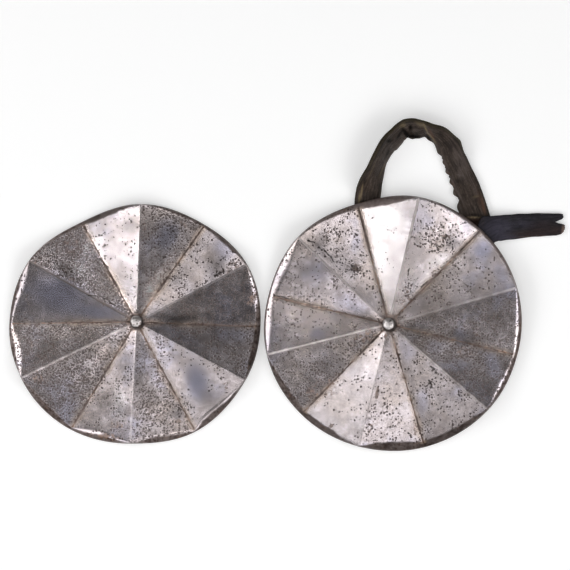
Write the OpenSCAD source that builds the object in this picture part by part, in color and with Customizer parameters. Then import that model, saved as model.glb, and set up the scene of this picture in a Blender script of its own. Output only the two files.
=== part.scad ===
// A pair of besagews: fluted steel discs that hang from straps and guard the armpit.
// Both lie face up on a table. The right one keeps its hanging strap and a torn buckle strap,
// and the left one keeps only a leather remnant under its rivet.
// X runs to the right, Y away from the wearer's belt and Z up from the table.

/* [Discs] */
// Thickness of the steel sheet
sheet_t = 1.5; // [1:0.1:2]
// Height of the crown above the edge of the rim
crown_h = 16; // [14:0.5:20]
// Height of the ridges where they meet the rim
ridge_h = 7.5; // [6:0.5:9]
// Height of the valleys where they meet the rim
valley_h = 3.5; // [2.5:0.5:5]
// Long diameter of the right disc
right_long_d = 162; // [150:1:170]
// Short diameter of the right disc
right_short_d = 158.5; // [150:0.5:166]
// Long diameter of the left disc
left_long_d = 159; // [150:1:166]
// Short diameter of the left disc
left_short_d = 148; // [140:1:156]

/* [Rivets] */
// Diameter of the domed rivet heads
head_d = 8; // [6:0.5:9]
// Height of the domed rivet heads
head_h = 2.6; // [1.5:0.1:3.5]
// Diameter of the rivet shanks
shank_d = 4; // [3:0.5:5]
// Side of the square roves under the leather
rove_w = 11; // [9:0.5:12]
// Thickness of the roves
rove_t = 1; // [0.8:0.1:1.5]
// Height of the hammered rivet tails
tail_h = 1.2; // [0.8:0.1:1.6]

/* [Hanging strap] */
// Width of the hanging strap
strap_w = 16.4; // [14:0.2:18]
// Thickness of the doubled hanging strap
strap_t = 2.8; // [2.2:0.1:3.4]
// How far the strap ends reach past the rivet
end_past = 10; // [8:0.5:14]
// Thickness of the sewing thread
thread_t = 0.8; // [0.5:0.1:1]
// How far in from the edge the thread passes through the strap
stitch_in = 2.4; // [1.8:0.1:3.5]

/* [Buckle strap] */
// Width of the torn buckle strap
buckle_strap_w = 16; // [13:0.5:17]
// Width of its torn tip
buckle_tip_w = 13.5; // [11:0.5:14.5]
// Thickness of the torn buckle strap
buckle_strap_t = 2; // [1.5:0.1:2.5]

/* [Clearances] */
// Gap between leather layers
layer_gap = 0.4; // [0.3:0.05:0.5]
// Radial gap round a rivet shank where leather turns on it
turn_gap = 0.08; // [0.04:0.01:0.1]
// Radial gap round a rivet shank where it is clamped
clamp_gap = 0.03; // [0.01:0.01:0.05]
// Gap between the two discs where they lie side by side
side_gap = 0.7; // [0.5:0.1:20]

/* [Hidden] */
$fn = 48;

steel_tone = [0.62, 0.6, 0.58];
rivet_tone = [0.72, 0.7, 0.66];
strap_tone = [0.2, 0.17, 0.13];
buckle_strap_tone = [0.12, 0.12, 0.15];
thread_tone = [0.35, 0.28, 0.18];

// Radius of an ellipse at a bearing
function oval(long_d, short_d, bearing) =
  1 / sqrt(pow(cos(bearing - long_dir) / (long_d / 2), 2) + pow(sin(bearing - long_dir) / (short_d / 2), 2));

// Each disc: rivet place, outline centre from the rivet, direction of the long diameter
right_rivet_at = [63.5, -24.5];
right_centre = [2.5, -0.5];
left_centre = [-1, -2.5];
long_dir = 17;
side_by_side = oval(right_long_d, right_short_d, 180) + side_gap + oval(left_long_d, left_short_d, 0);
left_rivet_at = [right_rivet_at.x + right_centre.x - side_by_side - left_centre.x, -23.5];

// Corners of the facets: bearing from the outline centre, how far inside the outline,
// and how far the hammered outline stands out from a true oval there
right_ridges = [[16.5, 0.8, -0.2], [78.5, 1.6, 1.4], [137.5, 1.2, 0.7], [193.5, 1.4, 0],
  [254.5, 1.4, -0.3], [318, 3.6, 0.4]];
right_valleys = [[47, 3.6, 0.1], [106.5, 6.4, -0.9], [167, 3.2, -0.9], [224.5, 6.2, -0.3],
  [284.5, 3.8, 0.2], [346, 4.2, -0.5]];
left_ridges = [[29, 1.2, 0.2], [87.5, 0.8, 1.5], [148.5, 1, 1.8], [204.5, 2, -0.6],
  [267.5, 4.4, -0.7], [334, 1.8, -0.1]];
left_valleys = [[55.5, 2.8, -0.9], [117.5, 2.6, -1.2], [179, 4.2, 0], [238, 4.6, -0.4],
  [299.5, 4.4, 1.8], [359.5, 3, -1]];
facet_steps = 5;
crest_step = 0.7 * sheet_t;

// The flat at the crown that the rivet head sits on
boss_r = head_d / 2 + 0.2;
crown_in = crown_h - sheet_t;

// Leather under a crown stays below the steepest valley, so that it can turn there
deepest_in = 7.5;
steep = (crown_h - valley_h) / (min(left_short_d, right_short_d) / 2 - deepest_in - boss_r);
seat_r = strap_w / 2;
seat_top = crown_in - steep * (seat_r - boss_r) - layer_gap;
buckle_z = seat_top - buckle_strap_t;
end_a_z = buckle_z - layer_gap - strap_t;
end_b_z = end_a_z - layer_gap - strap_t;
rove_drop = layer_gap + steep * max(0, rove_w / sqrt(2) - seat_r);
right_rove_z = end_b_z - rove_drop - rove_t;
remnant_z = seat_top - strap_t;
left_rove_z = remnant_z - rove_drop - rove_t;
right_rove_turn = 20;
left_rove_turn = 35;
tail_d = 1.6 * shank_d;

// The right disc leans on the straps that cross under its rim at one side
lean_dir = 47;
lean_h = strap_t + layer_gap + buckle_strap_t + layer_gap;
lean_r = right_long_d / 2;
lean = asin(lean_h / (2 * lean_r));
lean_centre = right_rivet_at + right_centre;
tuck_in = 9;
tuck_r = lean_r - tuck_in;

// The routes are laid out round a rim of laid_r and move out and in with the real rim
laid_r = 81;
function flat_len(v) = sqrt(v.x * v.x + v.y * v.y);
function off_rim(p) =
  let (d = [p.x - lean_centre.x, p.y - lean_centre.y], r = flat_len(d))
  let (q = lean_centre + d * (1 + (lean_r - laid_r) * min(1, r / laid_r) / r))
  concat([q.x, q.y], [for (i = [2 : len(p) - 1]) p[i]]);

// Route of the hanging strap: place of its middle, and how far its outer edge is rolled up
a_leg = [[60, -8, 0], [55.5, 10, 0], [52, 30, 0], [50.6, 44, 0], [50.7, 52, 0], [51.4, 60, 8]];
loop_left = [[53.6, 68, 34], [57.2, 77, 53], [60.8, 84, 57], [64.4, 88.4, 57], [68.6, 92.4, 54]];
loop_top = [[73.5, 96.2, 50], [79, 97, 48], [84.2, 96, 55], [88.8, 94.2, 57], [93.4, 91.6, 46]];
loop_right = [[98.2, 87.8, 25], [102, 82, 9], [105.2, 74.8, 5], [109, 66, 3], [112.2, 59, 1]];
b_leg = [[115.5, 50, 0], [118.5, 42, 0], [121, 33, 0], [120.5, 22, 0], [115, 11, 0]];
b_tuck = [[105.5, 1, 0], [93, -8, 0], [79, -17, 0]];
a_end_dir = 282;
b_end_dir = 208;

function along(p, dir, len) = p + len * [cos(dir), sin(dir)];
function with_roll(p) = [p.x, p.y, 0];
a_start = [with_roll(along(right_rivet_at, a_end_dir, end_past)), with_roll(right_rivet_at)];
b_finish = [with_roll(right_rivet_at), with_roll(along(right_rivet_at, b_end_dir, end_past))];
strap_middle = concat(a_leg, loop_left, loop_top, loop_right, b_leg, b_tuck);
strap_route = concat(a_start, [for (p = strap_middle) off_rim(p)], b_finish);
route_steps = 4;
across_steps = 4;

// The strap flexes along a line just past the rim, where its loop meets its two legs
flex_past = 4;
loop_y = lean_centre.y + lean_r + flex_past;
left_leg_part = [0, 8];
loop_part = [6, 23];
right_leg_part = [21, len(strap_route) - 1];

// Stitches along the inner edge of the right leg, as places along the route
loop_stitches = [19.1, 19.65, 20.15, 20.65, 21.15];
leg_stitches = [22.4, 22.95, 23.45];
thread_w = 1.2 * thread_t;
thread_gap = 0.12;

// Route of the buckle strap: place of its middle, and its sides as shares of its half width
buckle_leg = [[77, -14, 1, 1], [92, -1.5, 1, 1], [107, 12, 0.95, 0.95], [118.5, 23.5, 0.85, 0.85]];
buckle_turn = [[125.4, 31.2, 1.2, 0.9], [131, 34.4, 1, 1], [137, 35.2, 1, 1], [145, 36, 1, 1]];
buckle_run = [[156, 36.8, 1, 1], [168, 37, 1, 1], [175, 37, 0.9, 0.9]];
buckle_end_dir = 223;
buckle_past = along(right_rivet_at, buckle_end_dir, end_past);
buckle_start = [[buckle_past.x, buckle_past.y, 1, 1], [right_rivet_at.x, right_rivet_at.y, 1, 1]];
buckle_middle = concat(buckle_leg, buckle_turn, buckle_run);
buckle_route = concat(buckle_start, [for (p = buckle_middle) off_rim(p)]);

// Past the hanging strap's right leg the buckle strap drops onto the table and narrows
drop_past = 2;
drop_run = 20;
taper_run = 40;
drop_from = off_rim(b_leg[2]).x + strap_w / 2 + drop_past;
drop_to = drop_from + drop_run;
taper_from = drop_from - drop_past;
taper_to = taper_from + taper_run;
buckle_x = drop_from + drop_run / 4;

// The torn end of the buckle strap, measured from the last point of its route
tip = buckle_route[len(buckle_route) - 1];
tear = [[5, 13], [-3.6, 8], [-2.2, 4.4], [-3.4, 3.4], [-7.2, 1.8], [-5.6, 0.4], [-2.8, 0.6],
  [-1.4, -0.2], [-1.4, -2.8], [-2.8, -5], [-5, -6.6], [-9, -9], [5, -17]];

// What is left of the left hanging strap, torn off short on both sides of its rivet
remnant_dir = 70;
remnant_half = [11, 12.5];
remnant_tears = [[1.2, -1, 0.4, -1.4, 0.8], [-0.8, 1.2, -1, 0.6, -1.2]];
remnant_steps = 6;

far = 400;

function smooth(u) = let (c = max(0, min(1, u))) c * c * (3 - 2 * c);
function mix(a, b, u) = a + (b - a) * u;

// Height of the leaning rim plane above the table
function rim_z(x, y) =
  tan(lean) * (lean_r + (x - lean_centre.x) * cos(lean_dir) + (y - lean_centre.y) * sin(lean_dir));

// Underside of a leather layer: z_mid at the rivet, z_out from the rim outwards
function drape(x, y, z_mid, z_out) =
  let (r = flat_len([x, y] - right_rivet_at))
  let (s = smooth((r - seat_r) / (tuck_r - seat_r)))
  max(0, mix(rim_z(x, y) + z_mid - steep * max(0, r - seat_r), z_out, s));

// A smooth curve through the points of a list
function curve_at(p, k) =
  let (n = len(p) - 1, i = min(floor(k), n - 1), u = k - i)
  let (a = p[max(0, i - 1)], b = p[i], c = p[i + 1], d = p[min(n, i + 2)])
  b + 0.5 * u * ((c - a) + u * ((2 * a - 5 * b + 4 * c - d) + u * (3 * (b - c) + d - a)));
function curve_dir(p, k) =
  let (n = len(p) - 1)
  let (v = curve_at(p, min(n, k + 0.05)) - curve_at(p, max(0, k - 0.05)))
  atan2(v.y, v.x);

// A closed strip from rings that each list the top points and then the bottom points
module strip(tops, bottoms) {
  m = len(tops[0]);
  n = len(tops);
  pts = concat([for (t = tops) each t], [for (b = bottoms) each b]);
  low = n * m;
  faces = concat(
    [for (i = [0 : n - 2], j = [0 : m - 2]) each
      let (a = i * m + j, b = a + 1, c = a + m, d = c + 1)
      [[a, c, d], [a, d, b], [low + a, low + d, low + c], [low + a, low + b, low + d]]],
    [for (i = [0 : n - 2]) each
      let (a = i * m, c = a + m, e = a + m - 1, g = e + m)
      [[a, low + a, low + c], [a, low + c, c], [e, g, low + g], [e, low + g, low + e]]],
    [for (j = [0 : m - 2]) each
      let (a = j, b = j + 1, c = (n - 1) * m + j, d = c + 1)
      [[a, b, low + b], [a, low + b, low + a], [c, low + d, d], [c, low + c, low + d]]]
  );
  polyhedron(pts, faces, convexity = 6);
}

// One fluted disc about its rivet, with facets from the crown down to a turned rim
module fluted_disc(long_d, short_d, centre, ridges, valleys) {
  n = len(ridges);
  corners = [for (i = [0 : n - 1]) each [concat(ridges[i], ridge_h), concat(valleys[i], valley_h)]];
  count = len(corners);
  function corner(i) =
    let (c = corners[i % count], r = oval(long_d, short_d, c[0]) + c[2] - c[1])
    [centre.x + r * cos(c[0]), centre.y + r * sin(c[0]), c[3], c[2]];
  points = [for (i = [0 : count - 1], j = [0 : facet_steps - 1])
    mix(corner(i), corner(i + 1), j / facet_steps)];
  k = len(points);
  crest = [for (p = points) [p.x, p.y, p.z]];
  side = [for (p = points)
    let (b = atan2(p.y - centre.y, p.x - centre.x))
    [cos(b), sin(b), oval(long_d, short_d, b) + p[3]]];
  top_boss = [for (p = crest) let (d = flat_len(p)) [boss_r * p.x / d, boss_r * p.y / d, crown_h]];
  crest_in = [for (i = [0 : k - 1])
    crest[i] - [crest_step * side[i][0], crest_step * side[i][1], sheet_t]];
  edge = [for (s = side) [centre.x + s[2] * s[0], centre.y + s[2] * s[1], 0]];
  edge_in = [for (i = [0 : k - 1]) edge[i] - sheet_t * [side[i][0], side[i][1], 0]];
  boss_in = [for (p = top_boss) [p.x, p.y, crown_in]];
  rings = [top_boss, crest, edge, edge_in, crest_in, boss_in];
  pts = concat([for (r = rings) each r], [[0, 0, crown_h], [0, 0, crown_in]]);
  above = len(rings) * k;
  faces = concat(
    [for (r = [0 : len(rings) - 2], i = [0 : k - 1]) each
      let (a = r * k + i, b = r * k + (i + 1) % k, c = a + k, d = b + k)
      [[a, b, d], [a, d, c]]],
    [for (i = [0 : k - 1]) [above, (i + 1) % k, i]],
    [for (i = [0 : k - 1]) let (low = (len(rings) - 1) * k) [above + 1, low + i, low + (i + 1) % k]]
  );
  difference() {
    polyhedron(pts, faces, convexity = 6);
    translate([0, 0, -far / 2])
      cylinder(d = shank_d + 2 * clamp_gap, h = far);
  }
}

// A cap of a sphere standing on z = 0
module dome(d, h) {
  r = (d * d / 4 + h * h) / (2 * h);
  intersection() {
    translate([0, 0, h - r])
      sphere(r = r, $fn = 96);
    cylinder(d = d, h = h + 1);
  }
}

// Domed rivet through the crown, with its tail hammered over the rove at rove_z
module rivet(rove_z) {
  translate([0, 0, crown_h])
    dome(head_d, head_h);
  translate([0, 0, rove_z - tail_h / 2])
    cylinder(d = shank_d, h = crown_h + head_h / 2 - rove_z + tail_h / 2);
  translate([0, 0, rove_z])
    mirror([0, 0, 1])
      dome(tail_d, tail_h);
}

module rove(rove_z, turn) {
  translate([0, 0, rove_z])
    rotate([0, 0, turn])
      difference() {
        translate([-rove_w / 2, -rove_w / 2, 0])
          cube([rove_w, rove_w, rove_t]);
        translate([0, 0, -1])
          cylinder(d = shank_d + 2 * clamp_gap, h = rove_t + 2);
      }
}

// The leaning frame of the right disc, with its origin on the rivet's axis
module right_frame() {
  translate([lean_centre.x, lean_centre.y, lean_h / 2])
    rotate([0, 0, lean_dir])
      rotate([0, -lean, 0])
        rotate([0, 0, -lean_dir])
          translate([-right_centre.x, -right_centre.y, 0])
            children();
}

module left_frame() {
  translate([left_rivet_at.x, left_rivet_at.y, 0])
    children();
}

module turning_bore() {
  right_frame()
    translate([0, 0, -far / 2])
      cylinder(d = shank_d + 2 * turn_gap, h = far);
}

module right_disc() {
  color(steel_tone)
    right_frame()
      fluted_disc(right_long_d, right_short_d, right_centre, right_ridges, right_valleys);
}

module right_rivet() {
  color(rivet_tone)
    right_frame()
      rivet(right_rove_z);
}

module right_rove() {
  color(steel_tone)
    right_frame()
      rove(right_rove_z, right_rove_turn);
}

// Underside of the hanging strap, whose first end lies over its other end at the rivet
function strap_under(k, x, y) =
  let (half = len(strap_route) / 2)
  drape(x, y, k < half ? end_a_z : end_b_z, 0);

// The hanging strap over a part of its route
module hanging_strap(part) {
  rings = [for (i = [part[0] * route_steps : part[1] * route_steps])
    let (k = i / route_steps, p = curve_at(strap_route, k), h = curve_dir(strap_route, k))
    let (roll = max(0, p[2]))
    let (out = [-sin(h), cos(h)], c = [p.x, p.y] + out * (strap_t / 2) * sin(roll))
    let (up = strap_t * [-out.x * sin(roll), -out.y * sin(roll), cos(roll)])
    [for (j = [across_steps : -1 : 0])
      let (u = 2 * j / across_steps - 1, q = c + out * u * strap_w / 2 * cos(roll))
      let (low = [q.x, q.y, strap_under(k, q.x, q.y) + (u + 1) * strap_w / 2 * sin(roll)])
      [low + up, low]]];
  strip([for (r = rings) [for (q = r) q[0]]], [for (r = rings) [for (q = r) q[1]]]);
}

// Puts a shape on the strap at a place along its route, with X along it and Y to its outer edge
module on_strap(k) {
  p = curve_at(strap_route, k);
  h = curve_dir(strap_route, k);
  roll = max(0, p[2]);
  z = strap_under(k, p.x, p.y) + strap_w / 2 * sin(roll);
  shift = strap_t / 2 * sin(roll);
  translate([p.x - sin(h) * shift, p.y + cos(h) * shift, z])
    rotate([0, 0, h])
      rotate([roll, 0, 0])
        children();
}

// A stitch round the inner edge, with its lower run let into the underside
stitch_low = 2 * thread_gap;
stitch_top = strap_t + thread_gap + thread_t;
stitch_edge = -strap_w / 2 - thread_gap - thread_t;
stitch_hole = -strap_w / 2 + stitch_in;

module stitch(k) {
  on_strap(k)
    difference() {
      translate([-thread_w / 2, stitch_edge, stitch_low])
        cube([thread_w, stitch_hole + thread_t - stitch_edge, stitch_top - stitch_low]);
      translate([-thread_w, stitch_edge + thread_t, stitch_low + thread_t])
        cube([2 * thread_w, stitch_hole - stitch_edge - thread_t, strap_t - thread_t]);
    }
}

module stitch_cut(k) {
  wide = thread_w + 2 * thread_gap;
  deep = stitch_low + thread_t + thread_gap;
  on_strap(k) {
    translate([-wide / 2, stitch_edge - 1, -1])
      cube([wide, stitch_hole + thread_t + thread_gap - stitch_edge + 1, 1 + deep]);
    translate([-wide / 2, stitch_hole - thread_gap, -1])
      cube([wide, thread_t + 2 * thread_gap, strap_t + 2]);
  }
}

module beyond_loop_line() {
  translate([-far / 2, loop_y, -far / 2])
    cube([far, far, far]);
}

module hanging_strap_left_leg() {
  color(strap_tone)
    difference() {
      hanging_strap(left_leg_part);
      beyond_loop_line();
      turning_bore();
    }
}

module hanging_strap_right_leg() {
  color(strap_tone)
    difference() {
      hanging_strap(right_leg_part);
      beyond_loop_line();
      turning_bore();
      for (k = leg_stitches)
        stitch_cut(k);
    }
}

module hanging_strap_loop() {
  color(strap_tone)
    difference() {
      intersection() {
        hanging_strap(loop_part);
        beyond_loop_line();
      }
      for (k = loop_stitches)
        stitch_cut(k);
    }
}

module leg_stitching() {
  color(thread_tone)
    for (k = leg_stitches)
      stitch(k);
}

module loop_stitching() {
  color(thread_tone)
    for (k = loop_stitches)
      stitch(k);
}

// The whole buckle strap, over the hanging strap at the rim and then down onto the table
function buckle_under(x, y) =
  drape(x, y, buckle_z, (strap_t + layer_gap) * (1 - smooth((x - drop_from) / (drop_to - drop_from))));

module buckle_strap() {
  count = route_steps * (len(buckle_route) - 1);
  rings = [for (i = [0 : count])
    let (k = i / route_steps, p = curve_at(buckle_route, k), h = curve_dir(buckle_route, k))
    let (out = [-sin(h), cos(h)])
    let (half = mix(buckle_strap_w, buckle_tip_w, smooth((p.x - taper_from) / (taper_to - taper_from))) / 2)
    [for (j = [across_steps : -1 : 0])
      let (u = 2 * j / across_steps - 1, share = u > 0 ? p[2] : p[3])
      let (q = [p.x, p.y] + out * u * share * half, z = buckle_under(q.x, q.y))
      [[q.x, q.y, z + buckle_strap_t], [q.x, q.y, z]]]];
  strip([for (r = rings) [for (q = r) q[0]]], [for (r = rings) [for (q = r) q[1]]]);
}

module beyond_buckle_line() {
  translate([buckle_x, -far / 2, -far / 2])
    cube([far, far, far]);
}

module buckle_strap_root() {
  color(buckle_strap_tone)
    difference() {
      buckle_strap();
      beyond_buckle_line();
      turning_bore();
    }
}

module buckle_strap_tail() {
  color(buckle_strap_tone)
    difference() {
      intersection() {
        buckle_strap();
        beyond_buckle_line();
      }
      translate([tip.x, tip.y, -1])
        linear_extrude(height = far)
          polygon(tear);
    }
}

module left_disc() {
  color(steel_tone)
    left_frame()
      fluted_disc(left_long_d, left_short_d, left_centre, left_ridges, left_valleys);
}

module left_rivet() {
  color(rivet_tone)
    left_frame()
      rivet(left_rove_z);
}

module left_rove() {
  color(steel_tone)
    left_frame()
      rove(left_rove_z, left_rove_turn);
}

module left_leather_remnant() {
  rings = [for (i = [0 : remnant_steps])
    let (x = mix(-remnant_half[0], remnant_half[1], i / remnant_steps))
    let (torn = i == 0 ? remnant_tears[0] : i == remnant_steps ? remnant_tears[1] : [0, 0, 0, 0, 0])
    [for (j = [across_steps : -1 : 0])
      let (q = [x + torn[j], (j / across_steps - 0.5) * strap_w])
      let (z = remnant_z - steep * max(0, flat_len(q) - seat_r))
      [[q.x, q.y, z + strap_t], [q.x, q.y, z]]]];
  color(strap_tone)
    left_frame()
      rotate([0, 0, remnant_dir])
        difference() {
          strip([for (r = rings) [for (q = r) q[0]]], [for (r = rings) [for (q = r) q[1]]]);
          translate([0, 0, -far / 2])
            cylinder(d = shank_d + 2 * clamp_gap, h = far);
        }
}

right_disc();
right_rivet();
right_rove();
hanging_strap_left_leg();
hanging_strap_right_leg();
hanging_strap_loop();
leg_stitching();
loop_stitching();
buckle_strap_root();
buckle_strap_tail();
left_disc();
left_rivet();
left_rove();
left_leather_remnant();
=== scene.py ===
import bpy
import math
import numpy as np
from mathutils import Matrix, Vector, noise
from types import SimpleNamespace


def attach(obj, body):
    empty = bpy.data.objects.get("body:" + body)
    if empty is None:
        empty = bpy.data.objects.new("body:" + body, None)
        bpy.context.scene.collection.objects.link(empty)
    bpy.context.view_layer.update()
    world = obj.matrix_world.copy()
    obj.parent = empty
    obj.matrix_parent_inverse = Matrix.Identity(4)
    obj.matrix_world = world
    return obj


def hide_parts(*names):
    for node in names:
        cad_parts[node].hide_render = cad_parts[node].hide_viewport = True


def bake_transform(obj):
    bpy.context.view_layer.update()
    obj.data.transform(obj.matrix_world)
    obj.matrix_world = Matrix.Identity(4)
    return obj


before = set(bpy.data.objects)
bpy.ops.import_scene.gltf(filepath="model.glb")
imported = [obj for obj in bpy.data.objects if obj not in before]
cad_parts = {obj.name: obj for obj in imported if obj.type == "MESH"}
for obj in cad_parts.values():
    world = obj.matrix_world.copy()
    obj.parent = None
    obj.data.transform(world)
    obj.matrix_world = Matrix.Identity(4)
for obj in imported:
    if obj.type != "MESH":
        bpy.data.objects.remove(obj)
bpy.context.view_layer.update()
mm = 0.001

# camera straight above the table, with the photograph's scale of 0.625 mm a pixel
view = dict(height=2.3, width=0.35625, centre=(-0.00125, -0.000625))
camera = bpy.data.objects.new("camera", bpy.data.cameras.new("camera"))
bpy.context.scene.collection.objects.link(camera)
camera.data.sensor_width = 36
camera.data.lens = 36 * view["height"] / view["width"]
camera.location = (view["centre"][0], view["centre"][1], view["height"])
camera.data.clip_end = 100
bpy.context.scene.camera = camera
bpy.context.scene.view_settings.view_transform = "Standard"
print("camera")


def meshObject(name, points, faces, attributes=None, smooth=True):
    mesh = bpy.data.meshes.new(name)
    mesh.from_pydata([tuple(p) for p in points], [], faces)
    mesh.update()
    if smooth:
        mesh.polygons.foreach_set("use_smooth", [True] * len(mesh.polygons))
    for key, values in (attributes or {}).items():
        layer = mesh.attributes.new(key, "FLOAT", "POINT")
        layer.data.foreach_set("value", np.asarray(values, dtype=np.float32).ravel())
    thing = bpy.data.objects.new(name, mesh)
    bpy.context.scene.collection.objects.link(thing)
    return thing


def gridFaces(rows, columns, closed=True):
    faces = []
    for r in range(rows - 1):
        for c in range(columns if closed else columns - 1):
            d = (c + 1) % columns
            faces.append((r * columns + c, r * columns + d, (r + 1) * columns + d, (r + 1) * columns + c))
    return faces


def tubeFaces(rows, columns):
    # a grid that also closes from its last row to its first
    last = (rows - 1) * columns
    closing = [(last + c, last + (c + 1) % columns, (c + 1) % columns, c) for c in range(columns)]
    return gridFaces(rows, columns) + closing


# node helpers
def place(tree, kind, inputs=None, **settings):
    node = tree.nodes.new(kind)
    for key, value in settings.items():
        setattr(node, key, value)
    for key, value in (inputs or {}).items():
        socket = node.inputs[key]
        if isinstance(value, bpy.types.NodeSocket):
            tree.links.new(value, socket)
        else:
            socket.default_value = value
    return node


def ramp(value, low, high, outLow=0.0, outHigh=1.0, smooth=True):
    span = {"Value": value, "From Min": low, "From Max": high, "To Min": outLow, "To Max": outHigh}
    kind = "SMOOTHSTEP" if smooth else "LINEAR"
    return place(value.id_data, "ShaderNodeMapRange", span, interpolation_type=kind).outputs["Result"]


def combine(kind, operation, a, b, **settings):
    # both kinds of maths node, in the tree of whichever value comes out of a node
    tree = next(value.id_data for value in (a, b) if isinstance(value, bpy.types.NodeSocket))
    return place(tree, kind, {0: a, 1: b}, operation=operation, **settings).outputs


def plus(a, b, clamp=False):
    return combine("ShaderNodeMath", "ADD", a, b, use_clamp=clamp)[0]


def minus(a, b, clamp=False):
    return combine("ShaderNodeMath", "SUBTRACT", a, b, use_clamp=clamp)[0]


def times(a, b, clamp=False):
    return combine("ShaderNodeMath", "MULTIPLY", a, b, use_clamp=clamp)[0]


def ratio(a, b, clamp=False):
    return combine("ShaderNodeMath", "DIVIDE", a, b, use_clamp=clamp)[0]


def most(a, b, clamp=False):
    return combine("ShaderNodeMath", "MAXIMUM", a, b, use_clamp=clamp)[0]


def vectors(operation, a, b, output="Vector"):
    return combine("ShaderNodeVectorMath", operation, a, b)[output]


def scaled(vector, factor):
    values = {0: vector, "Scale": factor}
    return place(vector.id_data, "ShaderNodeVectorMath", values, operation="SCALE").outputs[0]


def mixed(factor, a, b):
    tree = factor.id_data
    node = place(tree, "ShaderNodeMix", {0: factor}, data_type="RGBA")
    for index, value in ((6, a), (7, b)):
        if isinstance(value, bpy.types.NodeSocket):
            tree.links.new(value, node.inputs[index])
        else:
            node.inputs[index].default_value = (*value, 1)
    return node.outputs[2]


def blotches(vector, scale, detail=3.0, roughness=0.55, distortion=0.0):
    node = place(vector.id_data, "ShaderNodeTexNoise", {"Vector": vector, "Scale": scale, "Detail": detail,
                 "Roughness": roughness, "Distortion": distortion})
    return node.outputs["Fac"]


def newGroup(name, takes, gives):
    # inputs by name with their values, the vectors with None; the outputs are all numbers
    group = bpy.data.node_groups.new(name, "ShaderNodeTree")
    for label, value in takes.items():
        kind = "NodeSocketVector" if value is None else "NodeSocketFloat"
        socket = group.interface.new_socket(label, in_out="INPUT", socket_type=kind)
        if value is not None:
            socket.default_value = value
    for label in gives:
        group.interface.new_socket(label, in_out="OUTPUT", socket_type="NodeSocketFloat")
    start = group.nodes.new("NodeGroupInput")
    end = group.nodes.new("NodeGroupOutput")
    return group, start.outputs, end.inputs


def groupNode(tree, group, inputs):
    return place(tree, "ShaderNodeGroup", inputs, node_tree=group).outputs


def newMaterial(name):
    material = bpy.data.materials.new(name)
    material.use_nodes = True
    tree = material.node_tree
    shader = tree.nodes["Principled BSDF"]
    return material, tree, shader


def relief(shader, height, strength, depth):
    values = {"Height": height, "Strength": strength, "Distance": depth}
    bump = place(height.id_data, "ShaderNodeBump", values)
    height.id_data.links.new(bump.outputs["Normal"], shader.inputs["Normal"])


def attribute(tree, name):
    return place(tree, "ShaderNodeAttribute", None, attribute_name=name).outputs["Fac"]


# white floor with its edge bent up, and a faint white world
stage = dict(floorRadius=4.0, wallHeight=0.8, bend=0.3, colour=0.82, glow=0.31, worldLevel=0.03)


def buildStage():
    profile = [(r, 0.0) for r in (0.0, 0.5, 1.5, stage["floorRadius"] - stage["bend"])]
    for i in range(1, 9):
        a = math.pi / 2 * i / 8
        r = stage["floorRadius"] - stage["bend"] * (1 - math.sin(a))
        profile.append((r, stage["bend"] * (1 - math.cos(a))))
    profile.append((stage["floorRadius"], stage["wallHeight"]))
    turns = 64
    points = [(r * math.cos(2 * math.pi * k / turns), r * math.sin(2 * math.pi * k / turns), z - 0.0002)
              for r, z in profile for k in range(turns)]
    floor = meshObject("floor", points, gridFaces(len(profile), turns))
    material, tree, shader = newMaterial("floor")
    shader.inputs["Base Color"].default_value = (stage["colour"],) * 3 + (1,)
    shader.inputs["Roughness"].default_value = 0.9
    shader.inputs["Specular IOR Level"].default_value = 0.0
    path = place(tree, "ShaderNodeLightPath").outputs
    seen = plus(plus(path["Is Camera Ray"], path["Is Glossy Ray"]), path["Is Transmission Ray"], clamp=True)
    glow = place(tree, "ShaderNodeEmission", {"Strength": times(seen, stage["glow"])})
    total = place(tree, "ShaderNodeAddShader", {0: shader.outputs[0], 1: glow.outputs[0]})
    tree.links.new(total.outputs[0], tree.nodes["Material Output"].inputs["Surface"])
    floor.data.materials.append(material)
    world = bpy.data.worlds.new("world")
    bpy.context.scene.world = world
    world.use_nodes = True
    world.node_tree.nodes["Background"].inputs["Color"].default_value = (1, 1, 1, 1)
    world.node_tree.nodes["Background"].inputs["Strength"].default_value = stage["worldLevel"]


# lamps: place, sizes and radiance; the small ones over the table are what the flutes mirror
lamps = dict(
    topLeft=dict(at=(-0.382, 0.313, 1.0), size=(0.203, 0.052), level=17.6),
    lowLeft=dict(at=(-0.2145, -0.2436, 1.0), size=(0.414, 0.150), level=5.2),
    lowRight=dict(at=(0.341, -0.522, 1.0), size=(0.327, 0.098), level=3.3),
    lowMiddle=dict(at=(0.208, -0.485, 1.0), size=(0.553, 0.077), level=3.2),
    right=dict(at=(0.501, 0.138, 1.0), size=(0.065, 0.128), level=14.1),
    topRight=dict(at=(0.160, 0.454, 1.0), size=(0.397, 0.100), level=4.9),
    sideLeft=dict(at=(-1.231, 0.217, 0.95), size=(1.5, 0.7), level=2.5, aim=(0, 0, 0)),
    sideLow=dict(at=(-0.884, -0.884, 0.95), size=(1.0, 0.7), level=2.6, aim=(0, 0, 0)),
    sideFront=dict(at=(0.625, -1.083, 0.95), size=(1.2, 0.7), level=2.0, aim=(0, 0, 0)),
    sideRight=dict(at=(1.207, -0.324, 0.95), size=(1.2, 0.7), level=3.0, aim=(0, 0, 0)),
)


def buildLamps():
    for name, lamp in lamps.items():
        data = bpy.data.lights.new(name, "AREA")
        data.shape = "RECTANGLE"
        data.size, data.size_y = lamp["size"]
        data.energy = lamp["level"] * lamp["size"][0] * lamp["size"][1] * math.pi
        thing = bpy.data.objects.new(name, data)
        thing.location = lamp["at"]
        if "aim" in lamp:
            sight = Vector(lamp["aim"]) - Vector(lamp["at"])
            thing.rotation_euler = sight.to_track_quat("-Z", "Y").to_euler()
        thing.visible_camera = False
        bpy.context.scene.collection.objects.link(thing)


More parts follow.
